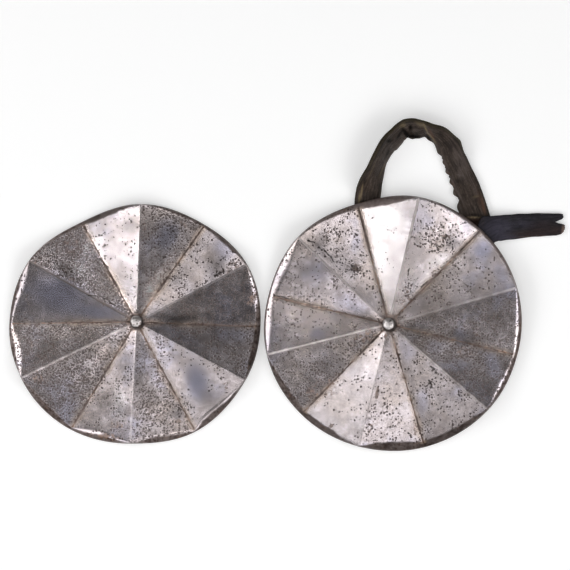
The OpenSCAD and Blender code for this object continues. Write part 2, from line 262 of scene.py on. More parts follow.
buildStage()
buildLamps()
print("stage and lamps")

# discs, in mm from the rivet. A corner of the facets is its bearing round the centre, inset from the outline,
# departure of the outline from the oval, and height; ridges and valleys take turns. A rim station is bearing,
# inset of the flange, depth of its patina and how dark that is. pitted and polish go facet by facet, crest
# ridge by ridge, and a crest below 0 is browned. The polish factor scales the steel colour of each facet,
# partly for its real polish and partly as painted light and shade.
sheet = dict(thickness=1.5, crown=16.0, apex=16.5, bore=2.1, longDir=17, leanDir=47, leanHeight=5.6)
discs = dict(
    right=dict(body="right_besagew", rivetAt=(63.5, -24.5), centre=(2.5, -0.5), longD=162, shortD=158.5,
               leans=True, seed=8.2,
               corners=[(16.5, 0.8, -0.2, 7.64), (47, 3.6, 0.1, 3.08), (78.5, 1.6, 1.4, 7.81),
                        (106.5, 6.4, -0.9, 3.26), (137.5, 1.2, 0.7, 7.61), (167, 3.2, -0.9, 3.62),
                        (193.5, 1.4, 0, 7.34), (224.5, 6.2, -0.3, 3.51), (254.5, 1.4, -0.3, 7.5),
                        (284.5, 3.8, 0.2, 3.5), (318, 3.6, 0.4, 7.48), (346, 4.2, -0.5, 3.53)],
               pitted=[0.55, 0.35, 0.1, 0.5, 0.75, 0.55, 0.9, 0.3, 0.45, 0.6, 1.3, 1.0],
               polishAndPaintedLight=[1.07, 0.96, 0.95, 0.9, 1.09, 1.08, 0.94, 0.8, 0.93, 0.7, 1.06, 1.03],
               crest=[0.5, 1, 0.6, 0.8, 0.3, 0.7],
               rim=[(0, 3.6, 2, 0.45), (8, 3, 1.8, 0.4), (16.5, 1.4, 1, 0.35), (30, 1.5, 1.7, 0.35),
                    (47, 1.5, 1.7, 0.35), (62, 1.5, 1.6, 0.4), (78.5, 1, 0.8, 0.3), (85, 2.5, 2.6, 0.35),
                    (93, 3.4, 3.8, 0.35), (100, 3.1, 3.4, 0.35), (106.5, 2.3, 2.6, 0.35),
                    (120, 2, 2.2, 0.4), (130, 1.3, 1.4, 0.35), (137.5, 0.8, 0.5, 0.2),
                    (145, 3.3, 0.6, 0.15), (152, 4.4, 0.8, 0.15), (160, 4, 0.8, 0.15), (167, 3.2, 1, 0.2),
                    (180, 4.6, 1.1, 0.2), (188, 3.2, 0.9, 0.2), (194, 1, 0.8, 0.4), (200, 2.2, 2.2, 0.6),
                    (210, 3.1, 3.2, 0.65), (220, 3.1, 3.2, 0.65), (224.5, 2.4, 2.6, 0.6),
                    (232, 2.8, 2.8, 0.65), (240, 3, 3, 0.6), (248, 1.6, 1.6, 0.6), (254.5, 0.8, 0.9, 0.5),
                    (262, 3.2, 3.6, 0.85), (270, 4, 4.6, 0.9), (278, 3.4, 4, 0.9), (284.5, 2.7, 3.2, 0.95),
                    (300, 2.8, 3.4, 1), (310, 2.2, 2.8, 1), (318, 1.3, 1.6, 0.8), (325, 3.1, 2, 0.6),
                    (332, 3.9, 2.2, 0.55), (340, 3.2, 2.2, 0.5), (346, 2.6, 1.9, 0.5),
                    (353, 3.4, 1.9, 0.5)]),
    left=dict(body="left_besagew", rivetAt=(-93.52, -23.5), centre=(-1, -2.5), longD=159, shortD=148,
              leans=False, seed=3.7,
              corners=[(29, 1.2, 0.2, 7.49), (55.5, 2.8, -0.9, 3.52), (87.5, 0.8, 1.5, 7.47),
                       (117.5, 2.6, -1.2, 3.42), (148.5, 1, 1.8, 7.59), (179, 4.2, 0, 3.61),
                       (204.5, 2, -0.6, 7.46), (238, 4.6, -0.4, 3.55), (267.5, 4.4, -0.7, 7.44),
                       (299.5, 4.4, 1.8, 3.5), (334, 1.8, -0.1, 7.39), (359.5, 3, -1, 3.73)],
              pitted=[0.6, 1.2, 0.35, 1.4, 0.5, 1.3, 1.5, 0.55, 1, 0.45, 1.2, 1.15],
              polishAndPaintedLight=[0.78, 0.92, 1, 1.38, 0.84, 1.25, 1.14, 1.08, 1.08, 0.89, 0.8, 1.1],
              crest=[0.3, 0.2, -1, 0.5, 0.3, 0.0],
              rim=[(5, 3, 2.4, 0.7), (12, 4.1, 1.2, 0.5), (20, 3, 0.9, 0.4), (29, 0.7, 0.7, 0.35),
                   (38, 2, 2.2, 0.4), (48, 1.8, 2, 0.4), (55.5, 1.3, 1.5, 0.45), (70, 1.8, 1.9, 0.5),
                   (80, 1.3, 1.3, 0.5), (87.5, 0.7, 0.6, 0.4), (94, 1.4, 1.6, 0.6), (103, 2.4, 2.6, 0.7),
                   (112, 2.4, 2.6, 0.7), (117.5, 1.8, 2, 0.6), (132, 1.6, 1.6, 0.55), (142, 1, 1, 0.4),
                   (148.5, 0.7, 0.4, 0.3), (155, 3.1, 0.8, 0.4), (162, 4.3, 2, 0.5), (170, 3, 1.8, 0.5),
                   (179, 1.8, 1.2, 0.5), (185, 4.2, 1.8, 0.5), (190, 5.4, 2.3, 0.5), (197, 3.9, 1.6, 0.4),
                   (204.5, 0.7, 0.6, 0.3), (212, 2.8, 2.6, 0.5), (220, 3.2, 3.2, 0.55),
                   (230, 2.8, 2.8, 0.55), (238, 1.8, 1.4, 0.5), (245, 4.1, 2.2, 0.5), (250, 5, 2.5, 0.6),
                   (258, 3.7, 2.2, 0.6), (267.5, 1.2, 0.8, 0.4), (275, 3.2, 2.2, 0.55),
                   (283, 3.8, 2.8, 0.6), (292, 3.2, 2.2, 0.55), (299.5, 1.2, 0.8, 0.5),
                   (305, 4.5, 2.6, 0.6), (311, 5, 3, 0.65), (321, 3.6, 2, 0.6), (334, 0.8, 0.9, 0.7),
                   (341, 2.2, 2.6, 1), (350, 2.4, 3, 1), (357, 2.3, 2.8, 0.95)]),
)
lean = math.asin(sheet["leanHeight"] / discs["right"]["longD"])
# counts of the mesh, roundings of ridges, valleys and crown, tilt of the flange in degrees, where its inner
# crest lies at the back in thicknesses, and the hammered waves
discMesh = dict(columns=32, rows=84, rimRows=16, rollRows=6, backRows=26, ridgeRound=0.2, valleyRound=0.9,
                crownRound=0.5, rimTilt=26, innerCrest=0.7, waveHeight=0.09, waveLength=17)


def oval(disc, bearing):
    a = math.radians(bearing - sheet["longDir"])
    return 1 / math.hypot(math.cos(a) / (disc["longD"] / 2), math.sin(a) / (disc["shortD"] / 2))


def leaning(disc, points):
    # local points of a disc, in mm from its rivet, to the frame in metres
    points = np.asarray(points, dtype=float)
    if not disc["leans"]:
        return (points + np.array([*disc["rivetAt"], 0])) * mm
    a = math.radians(sheet["leanDir"])
    spin = np.array([[math.cos(a), -math.sin(a), 0], [math.sin(a), math.cos(a), 0], [0, 0, 1]])
    tip = np.array([[math.cos(lean), 0, -math.sin(lean)], [0, 1, 0], [math.sin(lean), 0, math.cos(lean)]])
    turn = spin @ tip @ spin.T
    middle = np.array([disc["rivetAt"][0] + disc["centre"][0], disc["rivetAt"][1] + disc["centre"][1],
                       sheet["leanHeight"] / 2])
    return ((points - np.array([*disc["centre"], 0])) @ turn.T + middle) * mm


def softPick(a, b, reach, high):
    # smooth minimum of two heights, or maximum where high
    near = np.maximum(reach - np.abs(a - b), 0) / reach
    return np.where(high, np.maximum(a, b) + near ** 2 * reach / 4, np.minimum(a, b) - near ** 2 * reach / 4)


def noiseField(u, v, seed):
    u, v = np.broadcast_arrays(u, v)
    values = [noise.noise(Vector((a, b, seed))) for a, b in zip(u.ravel(), v.ravel())]
    return np.array(values).reshape(u.shape)


def painted(points, spots):
    # soft spots added up and held under 1
    x, y = points[:, 0] / mm, points[:, 1] / mm
    total = np.zeros(len(points))
    for cx, cy, rx, ry, turn, amount in spots:
        a = math.radians(turn)
        u = ((x - cx) * math.cos(a) + (y - cy) * math.sin(a)) / rx
        v = (-(x - cx) * math.sin(a) + (y - cy) * math.cos(a)) / ry
        total += amount * np.exp(-((u * u + v * v) ** 1.5))
    return np.minimum(total, 1)


# what is painted on the discs, in mm on the plan: a spot is its middle, half sizes, turn and amount. The
# spots that dim the steel are partly stains and partly painted shade, and one below 0 is painted light that
# makes it lighter; marks are lines from point to point, one of more than 4 points is the crack
discPaint = dict(
    left_disc=dict(
        rust=[(-135.6, 25.6, 8.8, 7.5, 40, 0.35), (-134.4, 1.9, 5, 5.6, 0, 0.5),
              (-161.9, -11.2, 2.5, 2.5, 0, 0.5), (-113.8, -11.9, 5, 3.1, 20, 0.45),
              (-88.8, 33.1, 1, 5, 0, 0.9), (-64.4, 38.1, 5.6, 3.1, -25, 0.35),
              (-35.6, 10, 8.8, 3.8, 25, 0.45), (-63.8, -17.5, 15, 7.5, 0, 0.2),
              (-21.9, -8.8, 3.1, 6.2, -20, 0.8), (-158.8, -38.1, 5, 11.2, -10, 0.3),
              (-154.4, -58.8, 6.9, 5, -30, 0.5), (-128.1, -60, 6.2, 5, 0, 0.25),
              (-106.2, -88.1, 5, 3.1, -20, 0.5), (-110.6, -95.6, 7.5, 2.5, -8, 0.9),
              (-82.5, -81.9, 8.8, 5, 0, 0.3), (-68.1, -86.2, 4.4, 3.1, 0, 0.45),
              (-54.4, -28.8, 15.6, 3.1, 0, 0.2), (-40.6, -63.8, 6.2, 5, 45, 0.35),
              (-45.6, -37.5, 5, 3.8, 0, 0.25), (-93.4, -23.8, 5.6, 5.6, 0, 0.9),
              (-156.9, 13.8, 1.2, 1.2, 0, 0.6)],
        stainAndPaintedLight=[(-55.5, -60.5, 8.5, 14, 14, 0.5), (-46, -72, 9, 7, 0, 0.3), (-118, -55, 6, 16, -30, 0.15),
             (-60, -6, 22, 5, 3, 0.15), (-69.5, -56, 15, 4.5, -61, -0.4), (-74.5, 30, 10, 6, 57, 0.5),
             (-67, -21.5, 10, 4.5, 0, 0.45), (-138, 8, 13, 5, -43, 0.45), (-68, -81, 5, 4.5, 0, 0.45),
             (-45, 17, 10, 6.5, 70, 0.45), (-97.5, 35.5, 7.5, 6, 0, 0.4), (-100, -51, 12, 6, -62, 0.35),
             (-128, -41, 15, 5.5, 31, 0.35), (-124.5, 21, 12, 6, 54, -0.25), (-73, -8, 13, 6, 26, -0.8),
             (-84.5, -8, 15, 5, 84, -0.7), (-76, 9, 18, 3.5, 54, -0.8), (-82, -56, 12, 6, -72, -0.6),
             (-82, -38, 13, 4, -54, -0.5), (-116, -46, 10, 3, 56, -0.6), (-149, 3, 6, 4, -30, -0.6),
             (-72, -22.5, 14, 3, -3, 0.3), (-43, 8, 11, 4, 62, 0.35)],
        cool=[(-141.9, -6.9, 20, 12.5, -20, 0.9), (-115.6, -17.5, 13.8, 5, 0, 0.7),
              (-76.2, 30, 6.2, 10, 0, 0.6), (-39.4, 21.9, 6.9, 6.2, -45, 0.7),
              (-56.2, -61.2, 6.9, 11.9, 12, 1), (-136.9, -78.8, 4.4, 5, 0, 0.5),
              (-32.5, -31.9, 10, 5.6, 0, 0.5), (-66.9, -31.9, 18.8, 3.8, -25, 0.4)],
        pits=[(-160.6, -43.8, 5, 11.2, 0, 0.5), (-129.4, -56.9, 15, 15, 0, 0.5),
              (-76.2, -38.1, 8.8, 5.6, -30, 0.5), (-34.4, 10, 7.5, 5, 0, 0.4),
              (-85.6, -75.6, 11.2, 13.8, 0, 0.4), (-130.6, 21.2, 8.8, 8.8, 0, 0.25),
              (-120, -0.6, 10, 6.2, -40, 0.35)],
        pale=[(-104.4, -72.5, 4.4, 10, 0, 0.7), (-129.4, 10, 3.1, 7.5, 35, 0.6),
              (-85.6, -35, 3.8, 8.8, 30, 0.4)],
        marks=[[(-123.1, -7.5), (-118.8, -7.1), (-115, -7.6), (-111.9, -9.7), (-109.1, -12.2),
                (-105.3, -14.1)],
               [(-87.5, 19.1), (-84.4, 20.6)], [(-138.1, 4.4), (-137.2, 7.2), (-133.8, 7.9)],
               [(-142.5, 5.6), (-140.6, 5.3)], [(-77.5, 17), (-75.6, 16.9)], [(-44.4, 5.6), (-38.1, 8.1)]]),
    right_disc=dict(
        rust=[(24.4, 30.6, 1.9, 4.4, 0, 0.6), (43.1, 10.6, 2.6, 2, 0, 0.55),
              (41.9, 9.4, 5.6, 3.8, -20, 0.35), (12.9, -3.4, 1.6, 1.2, 0, 0.8),
              (22.5, -65, 11.2, 7.5, 40, 0.55), (15, -67.5, 3.1, 3.1, 0, 0.5),
              (48.1, -33.8, 10.6, 5.6, 38, 0.5), (56.2, -67.5, 1.1, 3.8, -8, 0.9),
              (54.4, -73.8, 1.2, 6.2, -8, 0.5), (51.9, -88.1, 1.9, 6.2, -10, 0.55),
              (27.5, -88.8, 2, 1.6, 0, 1), (110.6, -42.5, 8.8, 5, 0, 0.35), (118.1, -33.1, 5, 3.8, 0, 0.4),
              (95.6, 28.8, 13.8, 11.2, 0, 0.35), (90.6, 6.2, 5.6, 1.9, 45, 0.5),
              (76.2, -3.8, 3.1, 8.8, 0, 0.35), (138.1, -3.8, 4.4, 2.5, 0, 0.4),
              (71.2, -10, 5, 7.5, 0, 0.35), (2.2, -2.5, 0.9, 7.5, 0, 0.6), (63.8, -24.4, 6.2, 5.6, 0, 0.9),
              (61.9, -36.2, 3.1, 11.2, 0, 0.45), (61.2, -56.9, 3.8, 10, 0, 0.25),
              (25, -10, 5.6, 2.5, 0, 0.3), (80, -92.5, 3.1, 5, 0, 0.4), (96.2, -47.5, 6.2, 3.1, 0, 0.2)],
        stainAndPaintedLight=[(19, 22, 13, 3.2, -42, 0.5), (41.5, 10, 4, 3, 0, 0.3), (118, -62, 9, 6, 30, 0.15),
             (75, -58, 4, 20, 12, 0.2), (48, -19.5, 12, 3.5, -27, 0.45), (21.5, 27, 5, 4.5, 0, 0.5),
             (106, 24, 8, 5, -27, 0.35), (99.5, 25, 8.5, 6.5, 60, 0.35), (80, -29, 9, 5, 0, 0.45),
             (57, -36, 9, 4, 0, 0.35), (110, -33.5, 9, 4.5, -15, 0.4), (43, -49.5, 10, 5.5, 57, 0.35),
             (35, 11.5, 9, 6, -48, 0.35)],
        cool=[(39.4, -13.1, 12.5, 7.5, -20, 0.6), (18.1, 6.9, 8.8, 7.5, 0, 0.5),
              (121.9, 21.2, 6.2, 7.5, -40, 0.9), (19.4, -31.2, 5, 3.1, 0, 0.6),
              (133.1, 5.6, 5, 8.1, 20, 0.6), (75, -41.2, 5.6, 7.5, 20, 0.5), (105, -51.2, 10, 4.4, 0, 0.5),
              (128.1, -50.6, 5, 10, 20, 0.6), (91.2, -38.1, 6.2, 5, 0, 0.4),
              (84.4, -72.5, 3.8, 8.8, 0, 0.5)],
        pits=[(94.4, 28.8, 15, 12.5, 0, 0.6), (30, 27.5, 12.5, 11.2, 0, 0.3),
              (114.4, -63.1, 13.8, 8.1, 0, 0.5), (133.1, -22.5, 10, 11.2, 0, 0.35),
              (86.2, -63.1, 11.2, 13.8, 0, 0.25), (61.2, -85, 7.5, 12.5, 0, 0.35),
              (51.9, -85, 3.1, 11.2, -10, 0.5), (19.4, -51.2, 5.6, 5.6, 0, 0.4),
              (36.2, 13.8, 8.8, 5.6, -40, 0.3)],
        pale=[(93.8, 14.4, 9.4, 4.4, 10, 0.8), (117.5, 32.5, 4.4, 2.5, -40, 0.7),
              (48.8, 36.9, 6.2, 6.2, 0, 0.3)],
        marks=[[(-9.1, -6.4), (1.7, -9.6)], [(22.5, 21.6), (29.1, 14.1)], [(75.6, 10), (74.7, 5.6)],
               [(88.8, -51.2), (91.2, -52.8), (93.1, -55)], [(88.4, -60), (89.7, -64.4)],
               [(106.8, -69.1), (107.4, -69.6)], [(106.2, -59.6), (108.8, -59.7)],
               [(110, -63.1), (111.9, -66.6)], [(108.1, 20.6), (111.9, 25.3)], [(83.8, -2.2), (86.9, 1.6)],
               [(12.5, 27.5), (16.9, 25.6)], [(59.7, -70.6), (60.6, -71.2)], [(75.9, -93.1), (77.5, -95)],
               [(42.8, 31.2), (43.8, 30)]]),
)


def facetCorners(disc):
    # corners of the facets on the plan, each with height and departure, and the slopes of the facet after it
    corners = []
    for bearing, inset, departure, height in disc["corners"]:
        r = oval(disc, bearing) + departure - inset
        a = math.radians(bearing)
        x, y = disc["centre"][0] + r * math.cos(a), disc["centre"][1] + r * math.sin(a)
        corners.append((x, y, height, departure))
    slopes = []
    for p, q in zip(corners, corners[1:] + corners[:1]):
        slopes.append(np.linalg.solve([p[:2], q[:2]], [p[2] - sheet["apex"], q[2] - sheet["apex"]]))
    return np.array(corners), slopes


def discColumns(disc):
    # what each column of the mesh needs: foot of its facet, edge of the sheet, slopes of its facet and of the
    # one past the nearer line, kind of that line, and directions of the ridge and the valley beside it
    corners, slopes = facetCorners(disc)
    centre, rimTable = np.array(disc["centre"]), np.array(disc["rim"]).T
    count, perFacet = len(corners), discMesh["columns"]
    columns = []
    for i in range(count):
        after = (i + 1) % count
        p, q = corners[i], corners[after]
        ridge, valley = (p, q) if i % 2 == 0 else (q, p)
        crest = disc["crest"][(i if i % 2 == 0 else after) // 2]
        for k in range(perFacet):
            u = k / perFacet
            u = 0.35 * u + 0.65 * (1 - math.cos(math.pi * u)) / 2  # closer together beside the lines
            soft = u * u * (3 - 2 * u)
            step = (disc["corners"][after][0] - disc["corners"][i][0]) % 360
            bearing = math.radians(disc["corners"][i][0] + step * u)
            ray = np.array([math.cos(bearing), math.sin(bearing)])
            r = oval(disc, math.degrees(bearing)) + p[3] + (q[3] - p[3]) * soft
            inset = np.interp(math.degrees(bearing), rimTable[0], rimTable[1], period=360)
            first = u < 0.5
            columns.append(dict(
                chord=centre + (r - inset) * ray, edge=centre + r * ray, own=slopes[i],
                other=slopes[i - 1] if first else slopes[after], isValley=(i if first else i + 1) % 2 == 1,
                lineA=ridge[:2] / np.hypot(*ridge[:2]), lineB=valley[:2] / np.hypot(*valley[:2]),
                crest=crest))
    ring = SimpleNamespace(**{key: np.array([column[key] for column in columns]) for key in columns[0]})
    ring.reach = np.hypot(ring.chord[:, 0], ring.chord[:, 1])
    out = ring.edge - ring.chord
    ring.width = np.hypot(out[:, 0], out[:, 1])
    ring.side = out / ring.width[:, None]
    bearings = np.degrees(np.arctan2(*(ring.edge - centre).T[::-1])) % 360
    ring.depth, ring.dark = (np.interp(bearings, rimTable[0], rimTable[k], period=360) for k in (2, 3))
    ring.flat = np.maximum((ring.width - ring.depth - 0.2) * 0.95, 0.25)
    ring.shoulder = 0.8 + 0.4 * ring.flat
    rounding = np.where(ring.isValley, discMesh["valleyRound"], discMesh["ridgeRound"])
    ring.bend = np.hypot(*(ring.own - ring.other).T) * 2 * rounding
    return ring


def facetHeight(ring, x, y):
    za = sheet["apex"] + ring.own[:, 0] * x + ring.own[:, 1] * y
    zb = sheet["apex"] + ring.other[:, 0] * x + ring.other[:, 1] * y
    z = softPick(za, zb, ring.bend, ring.isValley)
    cap = discMesh["crownRound"]
    near = np.maximum(cap - np.abs(z - sheet["crown"]), 0) / cap
    return np.minimum(z, sheet["crown"]) - near ** 2 * cap / 4


def facetRows(ring, seed):
    # rows of x, y, height, distance out from the rim and share of underside, from the bore to the shoulder
    shape = discMesh
    rows = []
    for k in range(shape["rows"] + 1):
        f = k / shape["rows"]
        f = 0.75 * f + 0.25 * math.sin(math.pi / 2 * f)  # closer together near the rim
        r = sheet["bore"] + (ring.reach - ring.shoulder - sheet["bore"]) * f
        x, y = ring.chord[:, 0] * r / ring.reach, ring.chord[:, 1] * r / ring.reach
        fade = np.clip((ring.reach - r) / 6, 0, 1) * np.clip((r - 5) / 10, 0, 1)  # at the rim and the crown
        ripple = noiseField(x / shape["waveLength"], y / shape["waveLength"], seed)
        z = facetHeight(ring, x, y) + shape["waveHeight"] * ripple * (0.4 + 0.6 * fade)
        rows.append((x, y, z, r - ring.reach, 0))
    return rows


def flangeRows(ring, start, crestZ):
    # the bright part of the flange lies at one tilt; past it the sheet turns down to its edge and rolls under
    startX, startY, startZ = start[:3]
    chordX, chordY = ring.chord.T
    sideX, sideY = ring.side.T
    width, flat, shoulder = ring.width, ring.flat, ring.shoulder
    half = sheet["thickness"] / 2
    fall = math.tan(math.radians(discMesh["rimTilt"]))
    bendZ = crestZ - fall * flat
    rest = width - flat
    fullness = np.clip(width / 5.6, 0.4, 0.78)  # a wide flange stays higher on its way to the edge
    steep = half + fullness * (bendZ - half)
    bright = ((-shoulder, startZ), (0.15 * flat, crestZ - 0.15 * fall * flat),
              (0.6 * flat, crestZ - 0.6 * fall * flat), (flat, bendZ))
    turned = ((flat, bendZ), (flat + 0.35 * rest, bendZ - 0.3 * fall * rest),
              (flat + 0.92 * rest, steep), (width, half))
    rows = []
    for span in (bright, turned):
        for k in range(1, discMesh["rimRows"] // 2 + 1):
            t = 2 * k / discMesh["rimRows"]
            shares = ((1 - t) ** 3, 3 * t * (1 - t) ** 2, 3 * t * t * (1 - t), t ** 3)
            past = sum(share * point[0] for share, point in zip(shares, span))
            lift = sum(share * point[1] for share, point in zip(shares, span))
            inward = np.clip(-past / shoulder, 0, 1)
            x = chordX + sideX * np.maximum(past, 0) + (startX - chordX) * inward
            y = chordY + sideY * np.maximum(past, 0) + (startY - chordY) * inward
            rows.append((x, y, lift, past, 0))
    for k in range(1, discMesh["rollRows"] + 1):
        a = math.pi * k / discMesh["rollRows"]
        inward = half * (1 - math.cos(a))
        x, y = ring.edge[:, 0] - sideX * inward, ring.edge[:, 1] - sideY * inward
        rows.append((x, y, half - half * math.sin(a), width + inward, k / discMesh["rollRows"]))
    return rows


def backRows(ring, low, crestZ):
    # inside of the flange up to its crest, then the back of the facets in to the bore
    half, crestIn = sheet["thickness"] / 2, discMesh["innerCrest"] * sheet["thickness"]
    innerX, innerY = (ring.chord - ring.side * crestIn).T
    innerR = np.hypot(innerX, innerY)
    rows = []
    for k in range(1, 4):
        t = k / 4
        z = half + (crestZ - sheet["thickness"] - half) * math.sin(t * math.pi / 2)
        rows.append((low[0] + (innerX - low[0]) * t, low[1] + (innerY - low[1]) * t, z, 0, 1))
    for k in range(discMesh["backRows"] + 1):
        f = 1 - k / discMesh["backRows"]
        r = sheet["bore"] + (innerR - sheet["bore"]) * f
        x, y = innerX * r / innerR, innerY * r / innerR
        rows.append((x, y, facetHeight(ring, x, y) - sheet["thickness"], r - innerR, 1))
    return rows


def buildDisc(name, disc):
    ring = discColumns(disc)
    rows = facetRows(ring, disc["seed"])
    x, y, z = rows[-1][:3]
    crestZ = z + (facetHeight(ring, *ring.chord.T) - facetHeight(ring, x, y))
    rows += flangeRows(ring, rows[-1], crestZ)
    rows += backRows(ring, rows[-1], crestZ)
    x, y, z, rim, under = (np.array([np.broadcast_to(row[k], ring.width.shape) for row in rows])
                           for k in range(5))
    placed = leaning(disc, np.stack([x.ravel(), y.ravel(), z.ravel()], axis=1))
    fromCrown = np.hypot(x, y)
    depth, dark, crest = (np.broadcast_to(row, x.shape) for row in (ring.depth, ring.dark, ring.crest))
    facet, polishAndPaintedLight = (np.tile(np.repeat(disc[key], discMesh["columns"]), len(rows))
                     for key in ("pitted", "polishAndPaintedLight"))
    paint = {key: painted(placed, spots) for key, spots in discPaint[name].items() if key != "marks"}
    values = dict(
        ridgeDistance=np.abs(x * ring.lineA[:, 1] - y * ring.lineA[:, 0]),
        valleyDistance=np.abs(x * ring.lineB[:, 1] - y * ring.lineB[:, 0]), rimDistance=rim, underside=under,
        outerEdge=np.where((rim > 0) | (under == 0), np.maximum(ring.width - rim, 0), 20),
        fromCrown=fromCrown, shadeSide=(x - y) / np.maximum(fromCrown, 0.1), crest=crest,
        patinaDepth=depth * np.interp(depth, (1.2, 2.6), (0.9, 1.35)), patinaDark=dark,
        polishAndPaintedLight=polishAndPaintedLight * (1 - paint["stainAndPaintedLight"]), pitted=facet + paint["pits"], rust=paint["rust"],
        cool=paint["cool"], pale=paint["pale"])
    thing = meshObject(name, placed, tubeFaces(len(rows), len(ring.width)), values)
    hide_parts(name)
    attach(thing, disc["body"])
    return thing


# shader groups shared by several materials
def pittingGroup():
    # small dark pits of two sizes in clusters, the depth of their bowls, and the mottle of the ground between
    tree, takes, gives = newGroup("pitting", dict(Vector=None, Amount=0.5), ("Mask", "Depth", "Speckle"))
    clusters = blotches(takes["Vector"], 110, 4.0, 0.7)
    least = minus(minus(0.92, times(takes["Amount"], 0.46)), times(minus(clusters, 0.5), 1.7))
    grains = place(tree, "ShaderNodeTexNoise", {"Vector": takes["Vector"], "Scale": 1300.0, "Detail": 2.0})
    shake = {0: grains.outputs["Color"], 1: (0.0007, 0.0007, 0), 2: takes["Vector"]}
    shaken = place(tree, "ShaderNodeVectorMath", shake, operation="MULTIPLY_ADD").outputs[0]
    masks, bowls = [], []
    for scale, reach, fewer in ((540.0, 0.40, 0.05), (920.0, 0.42, 0.13)):
        grid = {"Vector": shaken, "Scale": scale}
        cells = place(tree, "ShaderNodeTexVoronoi", grid, voronoi_dimensions="2D").outputs
        chance = place(tree, "ShaderNodeSeparateColor", {"Color": cells["Color"]}).outputs["Red"]
        over = minus(chance, plus(least, fewer))
        radius = times(ramp(over, 0.0, 0.22, smooth=False), reach)
        near = ratio(cells["Distance"], most(radius, 0.02))
        masks.append(ramp(near, 0.55, 1.15, 1, 0))
        bowls.append(ramp(near, 0.1, 1.5, 1, 0))
    tree.links.new(most(*masks), gives["Mask"])
    tree.links.new(most(*bowls), gives["Depth"])
    lands = blotches(takes["Vector"], 170, 5.0, 0.75)
    spread = times(minus(lands, 0.5), plus(takes["Amount"], 0.4))
    tree.links.new(ramp(spread, -0.22, 0.22, smooth=False), gives["Speckle"])
    return tree


def rustLineGroup():
    # rust along a line on the plan: its ragged core, and the haze on both sides of it
    tree, takes, gives = newGroup("rustLine", dict(Vector=None, Distance=5, Width=1), ("Core", "Halo"))
    ragged = times(minus(blotches(takes["Vector"], 420, 3), 0.5), 1.3)
    swell = times(minus(blotches(takes["Vector"], 60, 2), 0.5), 1.5)
    away = ratio(plus(plus(takes["Distance"], ragged), swell), takes["Width"])
    core = ramp(away, 0.2, 0.62, 1, 0)
    halo = times(ramp(away, 0.5, 3.4, 1, 0), ramp(blotches(takes["Vector"], 75, 3), 0.38, 0.62, 0.25, 1))
    tree.links.new(core, gives["Core"])
    tree.links.new(halo, gives["Halo"])
    return tree


def markGroup():
    # nearness to a straight mark on the plan, 1 on it and 0 past its width
    tree, takes, gives = newGroup("straightMark", dict(Vector=None, Start=None, Run=None, Width=1), ("Mask",))
    flat = vectors("MULTIPLY", takes["Vector"], (1, 1, 0))
    away = vectors("SUBTRACT", flat, takes["Start"])
    dot = vectors("DOT_PRODUCT", away, takes["Run"], "Value")
    whole = vectors("DOT_PRODUCT", takes["Run"], takes["Run"], "Value")
    share = ratio(dot, whole, clamp=True)
    foot = scaled(takes["Run"], share)
    gap = vectors("DISTANCE", away, foot, "Value")
    near = ratio(gap, takes["Width"])
    tree.links.new(ramp(near, 0.4, 1.0, 1, 0), gives["Mask"])
    return tree


def grainGroup():
    # leather: broad tone, streaks along the strap, worn places, and the height of its grain and cracks
    tree, takes, gives = newGroup("leatherGrain", dict(Vector=None, Along=0, Across=0),
                                  ("Value", "Height", "Wear", "Streak"))
    fine = blotches(takes["Vector"], 900, 4, 0.65)
    broad = blotches(takes["Vector"], 130, 4, 0.65, 0.6)
    spread = {"X": times(takes["Along"], 0.14), "Y": takes["Across"]}
    flat = place(tree, "ShaderNodeCombineXYZ", spread).outputs[0]
    streak = blotches(flat, 0.9, 4, 0.65, 0.4)
    grid = {"Vector": takes["Vector"], "Scale": 800.0}
    cells = place(tree, "ShaderNodeTexVoronoi", grid, feature="DISTANCE_TO_EDGE")
    cracks = ramp(cells.outputs["Distance"], 0.0, 0.12)
    tree.links.new(plus(times(broad, 0.45), times(streak, 0.55)), gives["Value"])
    rough = plus(times(fine, 0.45), times(cracks, 0.25))
    tree.links.new(plus(rough, times(streak, 0.6)), gives["Height"])
    tree.links.new(ramp(plus(times(fine, 0.5), times(streak, 0.5)), 0.5, 0.66), gives["Wear"])
    tree.links.new(streak, gives["Streak"])
    return tree


pitting, rustLine, straightMark, leatherGrain = pittingGroup(), rustLineGroup(), markGroup(), grainGroup()

discLook = dict(steel=(0.745, 0.672, 0.70), warm=(0.76, 0.65, 0.61), cool=(0.52, 0.52, 0.68),
                pale=(0.83, 0.79, 0.82), crest=(0.97, 0.89, 0.88), crestBrown=(0.105, 0.092, 0.095),
                murk=(0.34, 0.29, 0.27), land=(0.24, 0.20, 0.19), pit=(0.05, 0.033, 0.028),
                mark=(0.02, 0.013, 0.01), rustDark=(0.07, 0.038, 0.027), rust=(0.23, 0.125, 0.07),
                halo=(0.62, 0.47, 0.36), rivetShadow=(0.012, 0.006, 0.004), patina=(0.23, 0.18, 0.17),
                patinaDark=(0.026, 0.016, 0.013), inside=(0.20, 0.165, 0.145), roughness=0.225,
                valleyWidth=1.15, markWidth=0.00066, crackWidth=0.00058, wander=0.003)


def drawnMarks(tree, spot):
    # single marks and the crack, straight from point to point but for a small sideways wander
    node = place(tree, "ShaderNodeTexNoise", {"Vector": spot, "Scale": 260.0, "Detail": 2.0})
    centred = vectors("SUBTRACT", node.outputs["Color"], (0.5, 0.5, 0.5))
    wandering = vectors("ADD", spot, vectors("MULTIPLY", centred, (discLook["wander"],) * 2 + (0,)))
    marks = None
    for path in discPaint["left_disc"]["marks"] + discPaint["right_disc"]["marks"]:
        wide = discLook["crackWidth"] if len(path) > 4 else discLook["markWidth"]
        for a, b in zip(path[:-1], path[1:]):
            first, run = (a[0] * mm, a[1] * mm, 0), ((b[0] - a[0]) * mm, (b[1] - a[1]) * mm, 0)
            values = {"Vector": wandering, "Start": first, "Run": run, "Width": wide}
            mask = groupNode(tree, straightMark, values)["Mask"]
            marks = mask if marks is None else most(marks, mask)
    return marks


